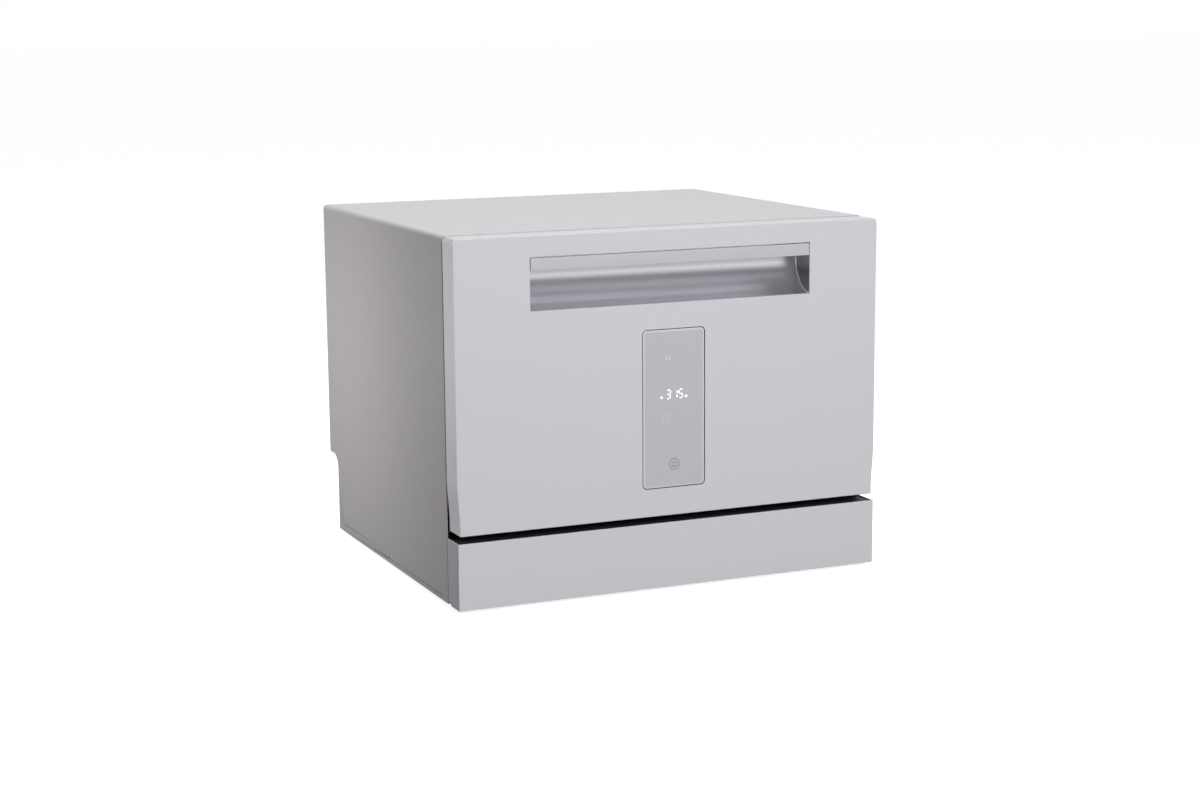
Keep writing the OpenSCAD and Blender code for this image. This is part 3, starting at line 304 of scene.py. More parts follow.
def soften(obj, width, weld=True):
    """Rounded edges and smooth shading, as modifiers."""
    if weld:
        w = obj.modifiers.new("weld", "WELD")
        w.merge_threshold = MERGE
    if width:
        b = obj.modifiers.new("bevel", "BEVEL")
        b.width = width
        b.segments = 2
        b.limit_method = "ANGLE"
        b.angle_limit = SHARP
        b.use_clamp_overlap = True
        b.harden_normals = True
        b.miter_outer = "MITER_ARC"
    for polygon in obj.data.polygons:
        polygon.use_smooth = True
    even_normals(obj)


def placed(name, data):
    obj = bpy.data.objects.new(name, data)
    bpy.context.scene.collection.objects.link(obj)
    return obj


def mesh_object(name, bm, material, body, width=0.0, smooth=False):
    """A piece that rides on a body. A width rounds its edges, and smooth only shades it round."""
    mesh = bpy.data.meshes.new(name)
    bmesh.ops.recalc_face_normals(bm, faces=bm.faces)
    bm.to_mesh(mesh)
    bm.free()
    obj = placed(name, mesh)
    mesh.materials.append(material)
    if smooth:
        for polygon in mesh.polygons:
            polygon.use_smooth = True
    if width:
        soften(obj, width, weld=False)
    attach(obj, body)
    return obj


def join_rings(bm, low, high):
    """Faces between two rings of as many points."""
    for i in range(len(low)):
        j = (i + 1) % len(low)
        bm.faces.new((low[i], low[j], high[j], high[i]))


def add_box(bm, lo, hi):
    x0, y0, z0 = lo
    x1, y1, z1 = hi
    v = [bm.verts.new(p) for p in (
        (x0, y0, z0), (x1, y0, z0), (x1, y1, z0), (x0, y1, z0),
        (x0, y0, z1), (x1, y0, z1), (x1, y1, z1), (x0, y1, z1))]
    for f in ((0, 3, 2, 1), (4, 5, 6, 7), (0, 1, 5, 4), (1, 2, 6, 5), (2, 3, 7, 6), (3, 0, 4, 7)):
        bm.faces.new([v[i] for i in f])


def add_lathe(bm, profile, matrix, steps=32):
    """Turns (radius, height) points round the local Z axis. A radius of 0 closes an end."""
    rings = []
    for r, h in profile:
        if r < 1e-9:
            rings.append([bm.verts.new(matrix @ Vector((0, 0, h)))])
        else:
            rings.append([bm.verts.new(matrix @ Vector((r * math.cos(a), r * math.sin(a), h)))
                          for a in (2 * math.pi * i / steps for i in range(steps))])
    for low, high in zip(rings, rings[1:]):
        for i in range(steps):
            j = (i + 1) % steps
            if len(low) == 1 and len(high) == 1:
                continue
            if len(low) == 1:
                bm.faces.new((low[0], high[i], high[j]))
            elif len(high) == 1:
                bm.faces.new((low[i], high[0], low[j]))
            else:
                bm.faces.new((low[i], high[i], high[j], low[j]))


def add_tube(bm, points, radius, sides=10, closed=False, round_ends=False):
    """A tube along points, with its section carried along the path without twist."""
    pts = [Vector(p) for p in points]
    radii = [radius] * len(pts)
    if round_ends:
        for end, inner in ((0, 1), (-1, -2)):
            d = (pts[end] - pts[inner]).normalized()
            tip = pts[end].copy()
            dome = [tip - d * radius]
            dome += [tip - d * radius * (1 - math.sin(t)) for t in (0.5, 0.95, 1.35)]
            sizes = [radius] + [radius * math.cos(t) for t in (0.5, 0.95, 1.35)]
            if end == 0:
                pts = dome[::-1] + pts[1:]
                radii = sizes[::-1] + radii[1:]
            else:
                pts = pts[:-1] + dome
                radii = radii[:-1] + sizes
    n = len(pts)
    tangents = []
    for i in range(n):
        a = pts[i - 1] if (i or closed) else pts[i]
        b = pts[(i + 1) % n] if (i < n - 1 or closed) else pts[i]
        tangents.append((b - a).normalized())
    up = Vector((0, 0, 1)) if abs(tangents[0].z) < 0.9 else Vector((1, 0, 0))
    normal = tangents[0].cross(up).normalized()
    rings = []
    for i in range(n):
        normal = (normal - tangents[i] * normal.dot(tangents[i])).normalized()
        side = tangents[i].cross(normal)
        bend = 1.0
        if 0 < i < n - 1 or closed:
            a = (pts[i] - pts[i - 1]).normalized()
            b = (pts[(i + 1) % n] - pts[i]).normalized()
            bend = 1 / max(0.5, math.sqrt(max(0.0, (1 + a.dot(b)) / 2)))
        size = radii[i] * bend ** 0.5
        rings.append([bm.verts.new(pts[i] + size * (normal * math.cos(a) + side * math.sin(a)))
                      for a in (2 * math.pi * k / sides for k in range(sides))])
    for low, high in zip(rings, rings[1:]):
        join_rings(bm, low, high)
    if closed:
        join_rings(bm, rings[-1], rings[0])
    else:
        bm.faces.new(rings[0][::-1])
        bm.faces.new(rings[-1])


def fillet(points, radius, steps=5, closed=False):
    """The path with its corners rounded."""
    pts = [Vector(p) for p in points]
    n = len(pts)
    out = []
    for i in range(n):
        if not closed and i in (0, n - 1):
            out.append(pts[i])
            continue
        a, b, c = pts[i - 1], pts[i], pts[(i + 1) % n]
        u, v = (a - b), (c - b)
        reach = min(radius, u.length * 0.45, v.length * 0.45)
        p, q = b + u.normalized() * reach, b + v.normalized() * reach
        for k in range(steps + 1):
            t = k / steps
            out.append((1 - t) ** 2 * p + 2 * t * (1 - t) * b + t * t * q)
    return out


def towards(direction, place, axis="Z"):
    """A matrix that puts a local axis along a direction at a place."""
    turn = Vector(direction).to_track_quat(axis, "Y")
    return Matrix.Translation(place) @ turn.to_matrix().to_4x4()


# ------------------------------------------------------------------ carried-over nodes
# each node's material, and the rounding of its edges
CARRIED = {
    "outer_casing": ("case", 0.0005), "plinth": ("paint", 0.0004),
    "rear_panel": ("zinc", 0.0003), "base_pan": ("black", 0.0008), "tub": ("steel", 0.0004),
    "tub_seal": ("rubber", 0.0022), "rack_rails": ("light", 0.0008),
    "latch_body": ("dark", 0.0006), "latch_pawl": ("light", 0.0003),
    "hinge_brackets": ("bolt", 0.0004), "hinge_pins": ("bolt", 0.0003),
    "hinge_arms": ("bolt", 0.0004),
    # the grip's end walls take the material whose tone by height is painted shade
    "grip_scoop": ("grip", 0.0), "grip_strip": ("strip", 0.0004), "grip_ends": ("end", 0.0002),
    "control_case": ("black", 0.0005), "control_board": ("board", 0.0002),
    "door_liner": ("liner", 0.0003), "door_strike": ("bolt", 0.0003),
    "dispenser_body": ("light", 0.0009), "dispenser_lid": ("light", 0.0006),
    "lid_button": ("blue", 0.0008), "rinse_cap": ("blue", 0.0009), "cup_shelf": ("nylon", 0.0005),
    "spray_arm": ("nylon", 0.0016), "sump": ("dark", 0.0008), "filter_cup": ("nylon", 0.0006),
    "salt_cap": ("light", 0.0012), "softener_tank": ("light", 0.002),
    "wash_pump": ("dark", 0.001), "wash_impeller": ("light", 0.0005),
    "flow_heater": ("zinc", 0.0), "drain_pump": ("dark", 0.001),
    "drain_impeller": ("light", 0.0005), "inlet_pipe": ("hose", 0.0),
    "drain_pipe": ("hose", 0.0), "air_breaker": ("light", 0.002),
    "overflow_float": ("foam", 0.001), "float_switch": ("dark", 0.0006),
    "cord_gland": ("rubber", 0.0008),
}
for corner in CORNERS:
    CARRIED["roller_" + corner] = ("light", 0.0007)
    CARRIED["foot_" + corner] = ("rubber", 0.0012)
for node, (key, width) in CARRIED.items():
    paint(NODES[node], M[key])
    soften(NODES[node], width)


def refined(node, name, material, side_material, body, widths):
    """A finer copy of a node, without its triangulation, so that its edges round in full.

    widths(edge) gives each sharp edge's rounding in metres."""
    bm = bmesh.new()
    bm.from_mesh(NODES[node].data)
    bmesh.ops.remove_doubles(bm, verts=bm.verts, dist=MERGE)
    flat = math.radians(0.6)
    bmesh.ops.dissolve_limit(bm, angle_limit=flat, verts=bm.verts, edges=bm.edges)
    layer = bm.edges.layers.float.new("bevel_weight_edge")
    chosen = {edge: widths(edge) for edge in bm.edges
              if len(edge.link_faces) == 2 and edge.calc_face_angle(0) > SHARP}
    widest = max(chosen.values())
    for edge, width in chosen.items():
        edge[layer] = width / widest
    mesh = bpy.data.meshes.new(name)
    bm.to_mesh(mesh)
    bm.free()
    mesh.materials.clear()
    mesh.materials.append(material)
    mesh.materials.append(side_material)
    for polygon in mesh.polygons:
        polygon.use_smooth = True
        # faces on the sides take the second material; on the door this is a lighter copy of its
        # paint, painted light
        if abs(polygon.normal.x) > 0.9 and abs(polygon.center.x) > HALF_W - 0.004:
            polygon.material_index = 1
    obj = placed(name, mesh)
    bevel = obj.modifiers.new("bevel", "BEVEL")
    bevel.limit_method = "WEIGHT"
    bevel.width = widest
    bevel.segments = 3
    bevel.use_clamp_overlap = False
    bevel.harden_normals = True
    bevel.miter_outer = "MITER_ARC"
    even_normals(obj)
    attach(obj, body)
    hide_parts(node)


def door_edge(edge):
    """Wide rounding round the door's face, less round its openings and inner edges."""
    a, b = (v.co for v in edge.verts)
    mid = (a + b) / 2
    if min(a.y, b.y) > FRONT_Y + 0.0001:
        return 0.00025
    inside = abs(mid.x) < 0.19 and 0.12 < mid.z < 0.42
    return 0.0004 if inside else 0.0013


# ------------------------------------------------------------------ dark gap lips: painted shade in the gaps
def painted_shade_gaps():
    """Near-black lips in the gaps between the casing and the door, and the casing and the plinth:
    painted shade, dark pieces where the gaps' shade falls.
    """
    door_lip, plinth_lip, root, wide = 0.0022, 0.0014, 0.0004, 0.0032
    bm = bmesh.new()
    for sign in (-1, 1):
        x0, x1 = sorted((sign * (HALF_W - wide), sign * (HALF_W - SHADE_LIP_INSET)))
        for lip, low, high in ((door_lip, 0.163, 0.4335), (plinth_lip, 0.0075, 0.0845)):
            add_box(bm, (x0, CASE_FRONT - lip, low), (x1, CASE_FRONT + root, high))
    mesh_object("gap_painted_shade_lips", bm, M["gap_shade"], "body")


# ------------------------------------------------------------------ dish rack of round wire
def rack_wires():
    bm = bmesh.new()
    r, rim_r, x = 1.7 * MM, 2.4 * MM, RACK_X - 2.5 * MM
    top = RIM_Z - 2.4 * MM
    front, back = RACK_FRONT + 2.6 * MM, RACK_BACK - 2.6 * MM

    def cross(y, low):
        add_tube(bm, fillet([(-x, y, top), (-x, y, low), (x, y, low), (x, y, top)], 7 * MM), r)

    # wires across: nine on the floor and two on the slope
    count = 9
    for i in range(count):
        y = SLOPE_Y + 6 * MM + (back - 8 * MM - SLOPE_Y) * i / (count - 1)
        cross(y, FLOOR_Z - 0.4 * MM)
    for t in (0.30, 0.72):
        y = SLOPE_Y + (RACK_FRONT - SLOPE_Y) * t
        cross(y, FLOOR_Z + 2 * MM + (SLOPE_Z - FLOOR_Z - 2 * MM) * t + 2.6 * MM)
    # wires from front to back
    lines = 13
    for i in range(lines):
        lx = -x + 8 * MM + (2 * x - 16 * MM) * i / (lines - 1)
        path = [(lx, front, top), (lx, front, SLOPE_Z + 1 * MM),
                (lx, SLOPE_Y + 2 * MM, FLOOR_Z - 0.2 * MM + r), (lx, back, FLOOR_Z + r),
                (lx, back, top)]
        add_tube(bm, fillet(path, 9 * MM), r)
    # the rim, and a ring halfway up
    for z, thick, inset in ((top, rim_r, 0), (FLOOR_Z + 50 * MM, r, 0.8 * MM)):
        loop = [(-x + inset, front + inset, z), (x - inset, front + inset, z),
                (x - inset, back - inset, z), (-x + inset, back - inset, z)]
        add_tube(bm, fillet(loop, 14 * MM, 7, closed=True), thick, sides=12, closed=True)
    # lower side runners, where the rollers' carriers sit
    for s in (-1, 1):
        z = FLOOR_Z + 8 * MM
        add_tube(bm, [(s * x, SLOPE_Y + 2 * MM, z), (s * x, back, z)], r)
    # hinge wire of the cup shelf
    hx, hz, foot = RACK_X - 2 * MM, RIM_Z + 4.5 * MM, RIM_Z - 3 * MM
    y0, y1 = PLATE_Y0 - 2 * MM, PLATE_Y0 + 212 * MM
    path = [(hx, y0, foot), (hx, y0, hz), (hx, y1, hz), (hx, y1, foot)]
    add_tube(bm, fillet(path, 3 * MM), 2 * MM, sides=12)
    # plate supports: a low wire across, with three upright rods
    for i in range(PLATE_ROWS):
        y = PLATE_Y0 + PLATE_PITCH * i
        low = FLOOR_Z + 3.6 * MM
        add_tube(bm, [(-75 * MM, y, low), (125 * MM, y, low)], 1.5 * MM, round_ends=True)
        for px in (-55, 25, 105):
            rod = [(px * MM, y, FLOOR_Z + 3 * MM), (px * MM, y, FLOOR_Z + 57.8 * MM)]
            add_tube(bm, rod, 1.6 * MM, round_ends=True)
    wires = mesh_object("rack_wires", bm, M["wire"], "rack", smooth=True)
    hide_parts("dish_rack", "plate_tines")

    # moulded carriers clipped on the side walls, with the rollers' axles
    axle = [(0, 0), (6 * MM, 0), (6 * MM, 8 * MM), (2.5 * MM, 8 * MM), (2.5 * MM, 18.6 * MM),
            (3.9 * MM, 18.6 * MM), (3.9 * MM, 20 * MM), (2.0 * MM, 20.6 * MM), (0, 20.6 * MM)]
    bm = bmesh.new()
    for s in (-1, 1):
        for y in ROLLER_YS:
            lo = (min(s * 201, s * 209) * MM, y - 15 * MM, AXLE_Z - 8 * MM)
            hi = (max(s * 201, s * 209) * MM, y + 15 * MM, AXLE_Z + 22 * MM)
            add_box(bm, lo, hi)
            add_lathe(bm, axle, towards((s, 0, 0), (s * 207 * MM, y, AXLE_Z)), 24)
    mesh_object("roller_carriers", bm, M["light"], "rack", width=0.0008)


# ------------------------------------------------------------------ cutlery basket of open lattice
def lattice_basket():
    (x0, y0, z0), (x1, y1, z1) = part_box("cutlery_basket")
    z1 -= 34 * MM  # the handle stands above the walls
    t, bar, slat, band, pitch = 2 * MM, 2.6 * MM, 2.4 * MM, 9 * MM, 8.2 * MM
    bm = bmesh.new()
    cells, cell = 4, (y1 - y0 - t) / 4
    half = z0 + 0.5 * (z1 - z0)
    below, above = half - 3 * MM, half + 3 * MM
    windows = ((z0 + band, below), (above, z1 - band))
    # base bands, middle bands and rims
    for low, high in ((z0, z0 + band), (below, above), (z1 - band, z1)):
        for x in (x0, x1 - t):
            add_box(bm, (x, y0, low), (x + t, y1, high))
        for i in range(cells + 1):
            add_box(bm, (x0 + t, y0 + i * cell, low), (x1 - t, y0 + i * cell + t, high))
    # upright bars between the bands
    for x in (x0, x1 - t):
        count = round((y1 - y0) / pitch)
        for i in range(count + 1):
            y = y0 + (y1 - y0 - bar) * i / count
            for a, b in windows:
                add_box(bm, (x, y, a), (x + t, y + bar, b))
    for i in range(cells + 1):
        y = y0 + i * cell
        count = round((x1 - x0 - 2 * t) / pitch)
        for k in range(1, count):
            x = x0 + t + (x1 - x0 - 2 * t - bar) * k / count
            for a, b in windows:
                add_box(bm, (x, y, a), (x + bar, y + t, b))
    # open floor
    along, across = 9, 25
    for i in range(along):
        x = x0 + t + (x1 - x0 - 2 * t - slat) * i / (along - 1)
        add_box(bm, (x, y0 + t, z0), (x + slat, y1 - t, z0 + t))
    for i in range(across):
        y = y0 + t + (y1 - y0 - 2 * t - slat) * i / (across - 1)
        add_box(bm, (x0 + t, y, z0 + 0.3 * MM), (x1 - t, y + slat, z0 + t - 0.3 * MM))
    # carrying handle
    xa, xb = (x0 + x1) / 2 - 5 * MM, (x0 + x1) / 2 + 5 * MM
    ya, yb = y0 + cell + t / 2, y0 + 3 * cell + t / 2
    for y in (ya, yb):
        add_box(bm, (xa, y - 2 * MM, z1 - band), (xb, y + 2 * MM, z1 + 31 * MM))
    add_box(bm, (xa, ya - 2 * MM, z1 + 28 * MM), (xb, yb + 2 * MM, z1 + 34 * MM))
    basket = mesh_object("cutlery_lattice", bm, M["nylon"], "basket",
                         width=0.0004)
    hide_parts("cutlery_basket")


# ------------------------------------------------------------------ small parts
def grip_beads():
    """Bright edges where the scoop meets its end walls."""
    bead, roof = 0.00055, 0.011  # the bead's radius, and that of the rounding under the roof
    mid = GRIP_TOP - 0.022
    fall = mid - GRIP_LOW
    r = (fall * fall + GRIP_DEPTH * GRIP_DEPTH) / (2 * GRIP_DEPTH)
    sweep = math.asin(fall / r)
    back = FRONT_Y + GRIP_DEPTH
    path = []
    for i in range(15):
        a = -sweep * 0.985 * (1 - i / 14)
        path.append((back - r + (r - bead) * math.cos(a), mid + (r - bead) * math.sin(a)))
    for i in range(1, 7):
        a = math.radians(15 * i)
        path.append((back - roof + (roof - bead) * math.cos(a),
                     GRIP_TOP - 0.0115 + (roof - bead) * math.sin(a)))
    bm = bmesh.new()
    for sign in (-1, 1):
        add_tube(bm, [(sign * (GRIP_X - 0.0009), y, z) for y, z in path], bead, sides=8)
    mesh_object("grip_beads", bm, M["grip"], "door", smooth=True)


def coil_springs():
    """The door's two balance springs, each a coil with straight ends."""
    wire, coil, turns, steps = 0.45 * MM, 2.5 * MM, 26, 14
    side = Vector((1, 0, 0))
    bm = bmesh.new()
    for s in (-1, 1):
        x = s * 263.7 * MM
        top = Vector((x, AXIS_Y + 45 * MM, AXIS_Z - 30 * MM))
        low = Vector((x, AXIS_Y + 69 * MM, 9.7 * MM))
        d = (top - low).normalized()
        other = d.cross(side)
        start, end = 13 * MM, (top - low).length - 15 * MM
        path = [low + d * 1 * MM, low + d * (start - 3 * MM)]
        for i in range(turns * steps + 1):
            a = 2 * math.pi * i / steps
            along = start + (end - start) * i / (turns * steps)
            path.append(low + d * along + coil * (side * math.cos(a) + other * math.sin(a)))
        path += [low + d * (end + 3 * MM), top - d * 6.8 * MM]
        add_tube(bm, path, wire, sides=6)
    obj = mesh_object("balance_springs", bm, M["bolt"], "body", smooth=True)
    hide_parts("door_springs")


def screw_head(bm, place, direction, radius, height, turn=0.0):
    """A pan head with a cross recess, cut as a sunken star in the dome."""
    m = towards(direction, place) @ Matrix.Rotation(turn, 4, "Z")
    steps = 32
    arm, reach, deep = 0.16 * radius, 0.62 * radius, 0.55 * height
    angles = [2 * math.pi * (i + 0.5) / steps for i in range(steps)]
    star = []
    for a in angles:
        c, s = abs(math.cos(a)), abs(math.sin(a))
        star.append(max(min(reach / p, arm / q) for p, q in ((c, s), (s, c))))
    # radius at each angle, and height: the dome, the recess's edge and its floor
    dome = ((1.0, 0.0), (1.0, 0.35), (0.93, 0.68), (0.80, 0.9), (0.70, 0.97))
    levels = [([radius * k] * steps, height * h) for k, h in dome]
    levels += [(star, height), ([0.9 * r for r in star], height - deep)]
    rings = [[bm.verts.new(m @ Vector((r * math.cos(a), r * math.sin(a), z)))
              for r, a in zip(sizes, angles)] for sizes, z in levels]
    for low, high in zip(rings, rings[1:]):
        join_rings(bm, low, high)
    centre = bm.verts.new(m @ Vector((0, 0, height - deep)))
    base = bm.verts.new(m @ Vector((0, 0, 0)))
    for i in range(steps):
        j = (i + 1) % steps
        bm.faces.new((rings[-1][i], rings[-1][j], centre))
        bm.faces.new((rings[0][j], rings[0][i], base))


def screws():
    bm = bmesh.new()
    places = [(s * 262 * MM, z) for s in (-1, 1) for z in (0.189, 0.234, 0.329, 0.407)]
    places += [(s * 185 * MM, 0.430) for s in (-1, 1)]
    for i, (x, z) in enumerate(places):
        screw_head(bm, (x, SEAL_FACE, z), (0, 1, 0), 3.4 * MM, 1.6 * MM, 0.7 * i)
    obj = mesh_object("door_screw_heads", bm, M["bolt"], "door")
    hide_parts("door_screws")

    bm = bmesh.new()
    places = [(s * 261 * MM, z) for s in (-1, 1) for z in (0.1255, 0.27175, 0.420)]
    places.append((0, 0.420))
    for i, (x, z) in enumerate(places):
        screw_head(bm, (x, REAR_FACE, z), (0, 1, 0), 3.6 * MM, 1.4 * MM, 0.5 + 0.8 * i)
    obj = mesh_object("rear_screw_heads", bm, M["bolt"], "body")
    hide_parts("rear_screws")

    bm = bmesh.new()
    for s in (-1, 1):
        for i, y in enumerate((-0.1945, 0.0, 0.200)):
            place = (s * 273.2 * MM, y, 14.5 * MM)
            screw_head(bm, place, (s, 0, 0), 3.0 * MM, 1.7 * MM, 0.4 + 0.9 * i)
    obj = mesh_object("casing_screw_heads", bm, M["bolt"], "body")
    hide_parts("casing_screws")


def inlet_thread():
    """The inlet valve's threaded end, a true helix of 14 turns an inch, and its body inside."""
    bm = bmesh.new()
    pitch, crest, root = 1.814 * MM, 13.15 * MM, 12.0 * MM
    start, length, steps = 4 * MM, 14 * MM, 48
    m = towards((0, 1, 0), (PORT_X, BASE_REAR, PORT_Z))
    profile = ((0.0, root), (0.18, root), (0.42, crest), (0.62, crest), (0.86, root))
    turns = int((length - 2.4 * MM) / pitch)
    prev = None
    for i in range(turns * steps + 1):
        a = 2 * math.pi * i / steps
        z = start + 1.2 * MM + pitch * i / steps
        edge = [bm.verts.new(m @ Vector((r * math.cos(a), r * math.sin(a), z + f * pitch)))
                for f, r in profile]
        if prev:
            for k in range(len(profile) - 1):
                bm.faces.new((prev[k], edge[k], edge[k + 1], prev[k + 1]))
        prev = edge
    # core under the thread, end ring and hollow mouth, with the flange on the panel
    core = [(0, -30 * MM), (13 * MM, -30 * MM), (13 * MM, 0.3 * MM), (17.2 * MM, 0.3 * MM),
            (17.2 * MM, 3.4 * MM), (16.6 * MM, 4 * MM), (13 * MM, 4 * MM), (12.02 * MM, 5 * MM),
            (12.02 * MM, 17.2 * MM), (11.4 * MM, 18 * MM), (9.6 * MM, 18 * MM),
            (9.2 * MM, 17.4 * MM), (9.2 * MM, 6 * MM), (0, 6 * MM)]
    add_lathe(bm, core, m, 48)
    # filter basket in the mouth
    strainer = [(0, 15 * MM), (5.5 * MM, 15 * MM), (6.3 * MM, 14.4 * MM), (6.3 * MM, 6 * MM),
                (0, 6 * MM)]
    add_lathe(bm, strainer, m)
    # valve body and its coil
    x, y = PORT_X, BASE_REAR
    add_box(bm, (x - 14 * MM, y - 42 * MM, PORT_Z - 14 * MM),
            (x + 14 * MM, y - 20 * MM, PORT_Z + 20 * MM))
    coil = towards((0, 0, 1), (x, y - 31 * MM, PORT_Z - 36 * MM))
    add_lathe(bm, [(0, 0), (11 * MM, 0), (11 * MM, 22 * MM), (0, 22 * MM)], coil)
    add_lathe(bm, [(0, -10.5 * MM), (5 * MM, -10.5 * MM), (5 * MM, 0), (0, 0)], coil, 24)
    obj = mesh_object("inlet_connection", bm, M["light"], "body", smooth=True)
    sharp = obj.modifiers.new("edges", "EDGE_SPLIT")
    sharp.split_angle = math.radians(28)
    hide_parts("inlet_valve")


def perforated_plate():
    """The flat filter with its rows of holes."""
    (x0, y0, z0), (x1, y1, z1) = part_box("filter_plate")
    cx, cy = WELL
    bm = bmesh.new()
    pitch, hole, clear = 4.2 * MM, 1.15 * MM, 34 * MM
    nx, ny = int((x1 - x0) / pitch), int((y1 - y0) / pitch)
    px, py = (x1 - x0) / nx, (y1 - y0) / ny
    grid = {}

    def corner(i, j, z):
        key = (i, j, z)
        if key not in grid:
            grid[key] = bm.verts.new((x0 + i * px, y0 + j * py, z))
        return grid[key]

    for i in range(nx):
        for j in range(ny):
            mx, my = x0 + (i + 0.5) * px, y0 + (j + 0.5) * py
            far = min(math.hypot(x0 + (i + a) * px - cx, y0 + (j + b) * py - cy)
                      for a in (0, 1) for b in (0, 1))
            if far < clear:
                continue
            edge = min(mx - x0, x1 - mx, my - y0, y1 - my)
            if edge < 6 * MM or far < clear + 5 * MM:
                for z in (z0, z1):
                    bm.faces.new([corner(i + a, j + b, z)
                                  for a, b in ((0, 0), (1, 0), (1, 1), (0, 1))])
                continue
            rims = []
            for z in (z0, z1):
                rim = [bm.verts.new((mx + hole * math.cos(a), my + hole * math.sin(a), z))
                       for a in (math.pi / 4 * (k + 0.5) for k in range(8))]
                rims.append(rim)
                cell = [corner(i + a, j + b, z) for a, b in ((1, 1), (0, 1), (0, 0), (1, 0))]
                for q in range(4):
                    a, b = cell[q], cell[(q + 1) % 4]
                    bm.faces.new((a, rim[2 * q], rim[2 * q + 1]))
                    bm.faces.new((a, rim[2 * q + 1], rim[(2 * q + 2) % 8], b))
            join_rings(bm, *rims)
    # edges of the sheet
    pairs = {}
    for e in bm.edges:
        if len(e.link_faces) == 1:
            ends = sorted((round(v.co.x, 6), round(v.co.y, 6)) for v in e.verts)
            pairs.setdefault(tuple(ends), []).append(e)
    for pair in pairs.values():
        if len(pair) == 2:
            p, q = pair
            a, b = p.verts
            c, d = sorted(q.verts, key=lambda v: (v.co.xy - b.co.xy).length)
            bm.faces.new((a, b, c, d))
    plate = mesh_object("filter_mesh_plate", bm, M["steel"], "body")
    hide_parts("filter_plate")


# ------------------------------------------------------------------ touch panel
def outline(x, z0, z1, r):
    """A rounded rectangle in X and Z, from -x to x and from z0 to z1."""
    steps = 8
    points = []
    for cx, cz, start in ((x - r, z1 - r, 0), (-x + r, z1 - r, 90),
                          (-x + r, z0 + r, 180), (x - r, z0 + r, 270)):
        for i in range(steps + 1):
            a = math.radians(start + 90 * i / steps)
            points.append((cx + r * math.cos(a), cz + r * math.sin(a)))
    return points


def glass_pane():
    """The touch glass with its ground bevel: a wide slope, and a fine round at the rim. The bevel's
    lighter colour is a painted highlight, over the slope's real reflections.
    """
    (x0, y0, z0), (x1, y1, z1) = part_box("touch_glass")
    corner, slope = 5.0 * MM, 2.3 * MM
    # depth behind the door's face and distance in from the rim
    profile = ((y1 - y0, 0.0), (0.85 * MM, 0.0), (0.60 * MM, 0.09 * MM), (0.48 * MM, 0.26 * MM),
               (0.07 * MM, 2.05 * MM), (0.03 * MM, 2.35 * MM))
    bm = bmesh.new()
    loops = []
    for deep, inset in profile:
        points = outline(x1 - inset, z0 + inset, z1 - inset, corner - inset)
        loops.append([bm.verts.new((x, y0 + deep, z)) for x, z in points])
    for low, high in zip(loops, loops[1:]):
        join_rings(bm, low, high)
    bm.faces.new(loops[0][::-1])
    bm.faces.new(loops[-1])
    pane = mesh_object("touch_pane", bm, M["glass"], "door")
    # the bevel faces take the lighter material: a painted highlight
    pane.data.materials.append(M["bevel"])
    for polygon in pane.data.polygons:
        x, z = abs(polygon.center.x), polygon.center.z
        inner = x < x1 - slope and z0 + slope < z < z1 - slope
        polygon.material_index = 0 if inner else 1
        polygon.use_smooth = len(polygon.vertices) == 4
    even_normals(pane, weight=50)
    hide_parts("touch_glass")


def flat_piece(name, polygons, material):
    """Flat printed marks, level with the door's face and 0.03 mm proud of the glass."""
    bm = bmesh.new()
    for poly in polygons:
        front = [bm.verts.new((x * MM, FRONT_Y, z * MM)) for x, z in poly]
        back = [bm.verts.new((x * MM, FRONT_Y + 0.0001, z * MM)) for x, z in poly]
        bm.faces.new(front)
        bm.faces.new(back[::-1])
        join_rings(bm, front, back)
    mesh_object(name, bm, material, "door")


# The marks below are in millimetres.
def stroke(path, width):
    """Bars with pointed ends along a path in X and Z."""
    quads = []
    for (xa, za), (xb, zb) in zip(path, path[1:]):
        length = math.hypot(xb - xa, zb - za)
        ux, uz = (xb - xa) / length, (zb - za) / length
        nx, nz = -uz * width / 2, ux * width / 2
        e = width * 0.45
        quads.append([(xa - ux * e, za - uz * e), (xa - nx, za - nz), (xb - nx, zb - nz),
                      (xb + ux * e, zb + uz * e), (xb + nx, zb + nz), (xa + nx, za + nz)])
    return quads


def ring(cx, cz, r, width, a0=0.0, a1=360.0, steps=40):
    out = []
    for i in range(steps):
        a, b = (math.radians(a0 + (a1 - a0) * k / steps) for k in (i, i + 1))
        out.append([(cx + (r + w) * math.sin(t), cz + (r + w) * math.cos(t))
                    for w, t in ((-width / 2, a), (-width / 2, b), (width / 2, b), (width / 2, a))])
    return out


def disc(cx, cz, r):
    steps = 14
    angles = [2 * math.pi * i / steps for i in range(steps)]
    return [[(cx + r * math.sin(a), cz + r * math.cos(a)) for a in angles]]


SEGMENTS = {"3": "abgcd", "1": "bc", "5": "afgcd"}
SEGMENT_ENDS = {"a": ((0, 1), (1, 1)), "b": ((1, 1), (1, 0.5)), "c": ((1, 0.5), (1, 0)),
                "d": ((0, 0), (1, 0)), "f": ((0, 1), (0, 0.5)), "g": ((0, 0.5), (1, 0.5))}


def digit(which, x, z, w, h):
    """A digit of bars, leaning a little, as on a lit display."""
    lean, bar = 0.05, 1.15
    quads = []
    for s in SEGMENTS[which]:
        (xa, za), (xb, zb) = SEGMENT_ENDS[s]
        t = bar / math.hypot((xb - xa) * w, (zb - za) * h)
        pa = (xa + (xb - xa) * t, za + (zb - za) * t)
        pb = (xb - (xb - xa) * t, zb - (zb - za) * t)
        quads += stroke([(x + p[0] * w + lean * p[1] * h, z + p[1] * h) for p in (pa, pb)], bar)
    return quads


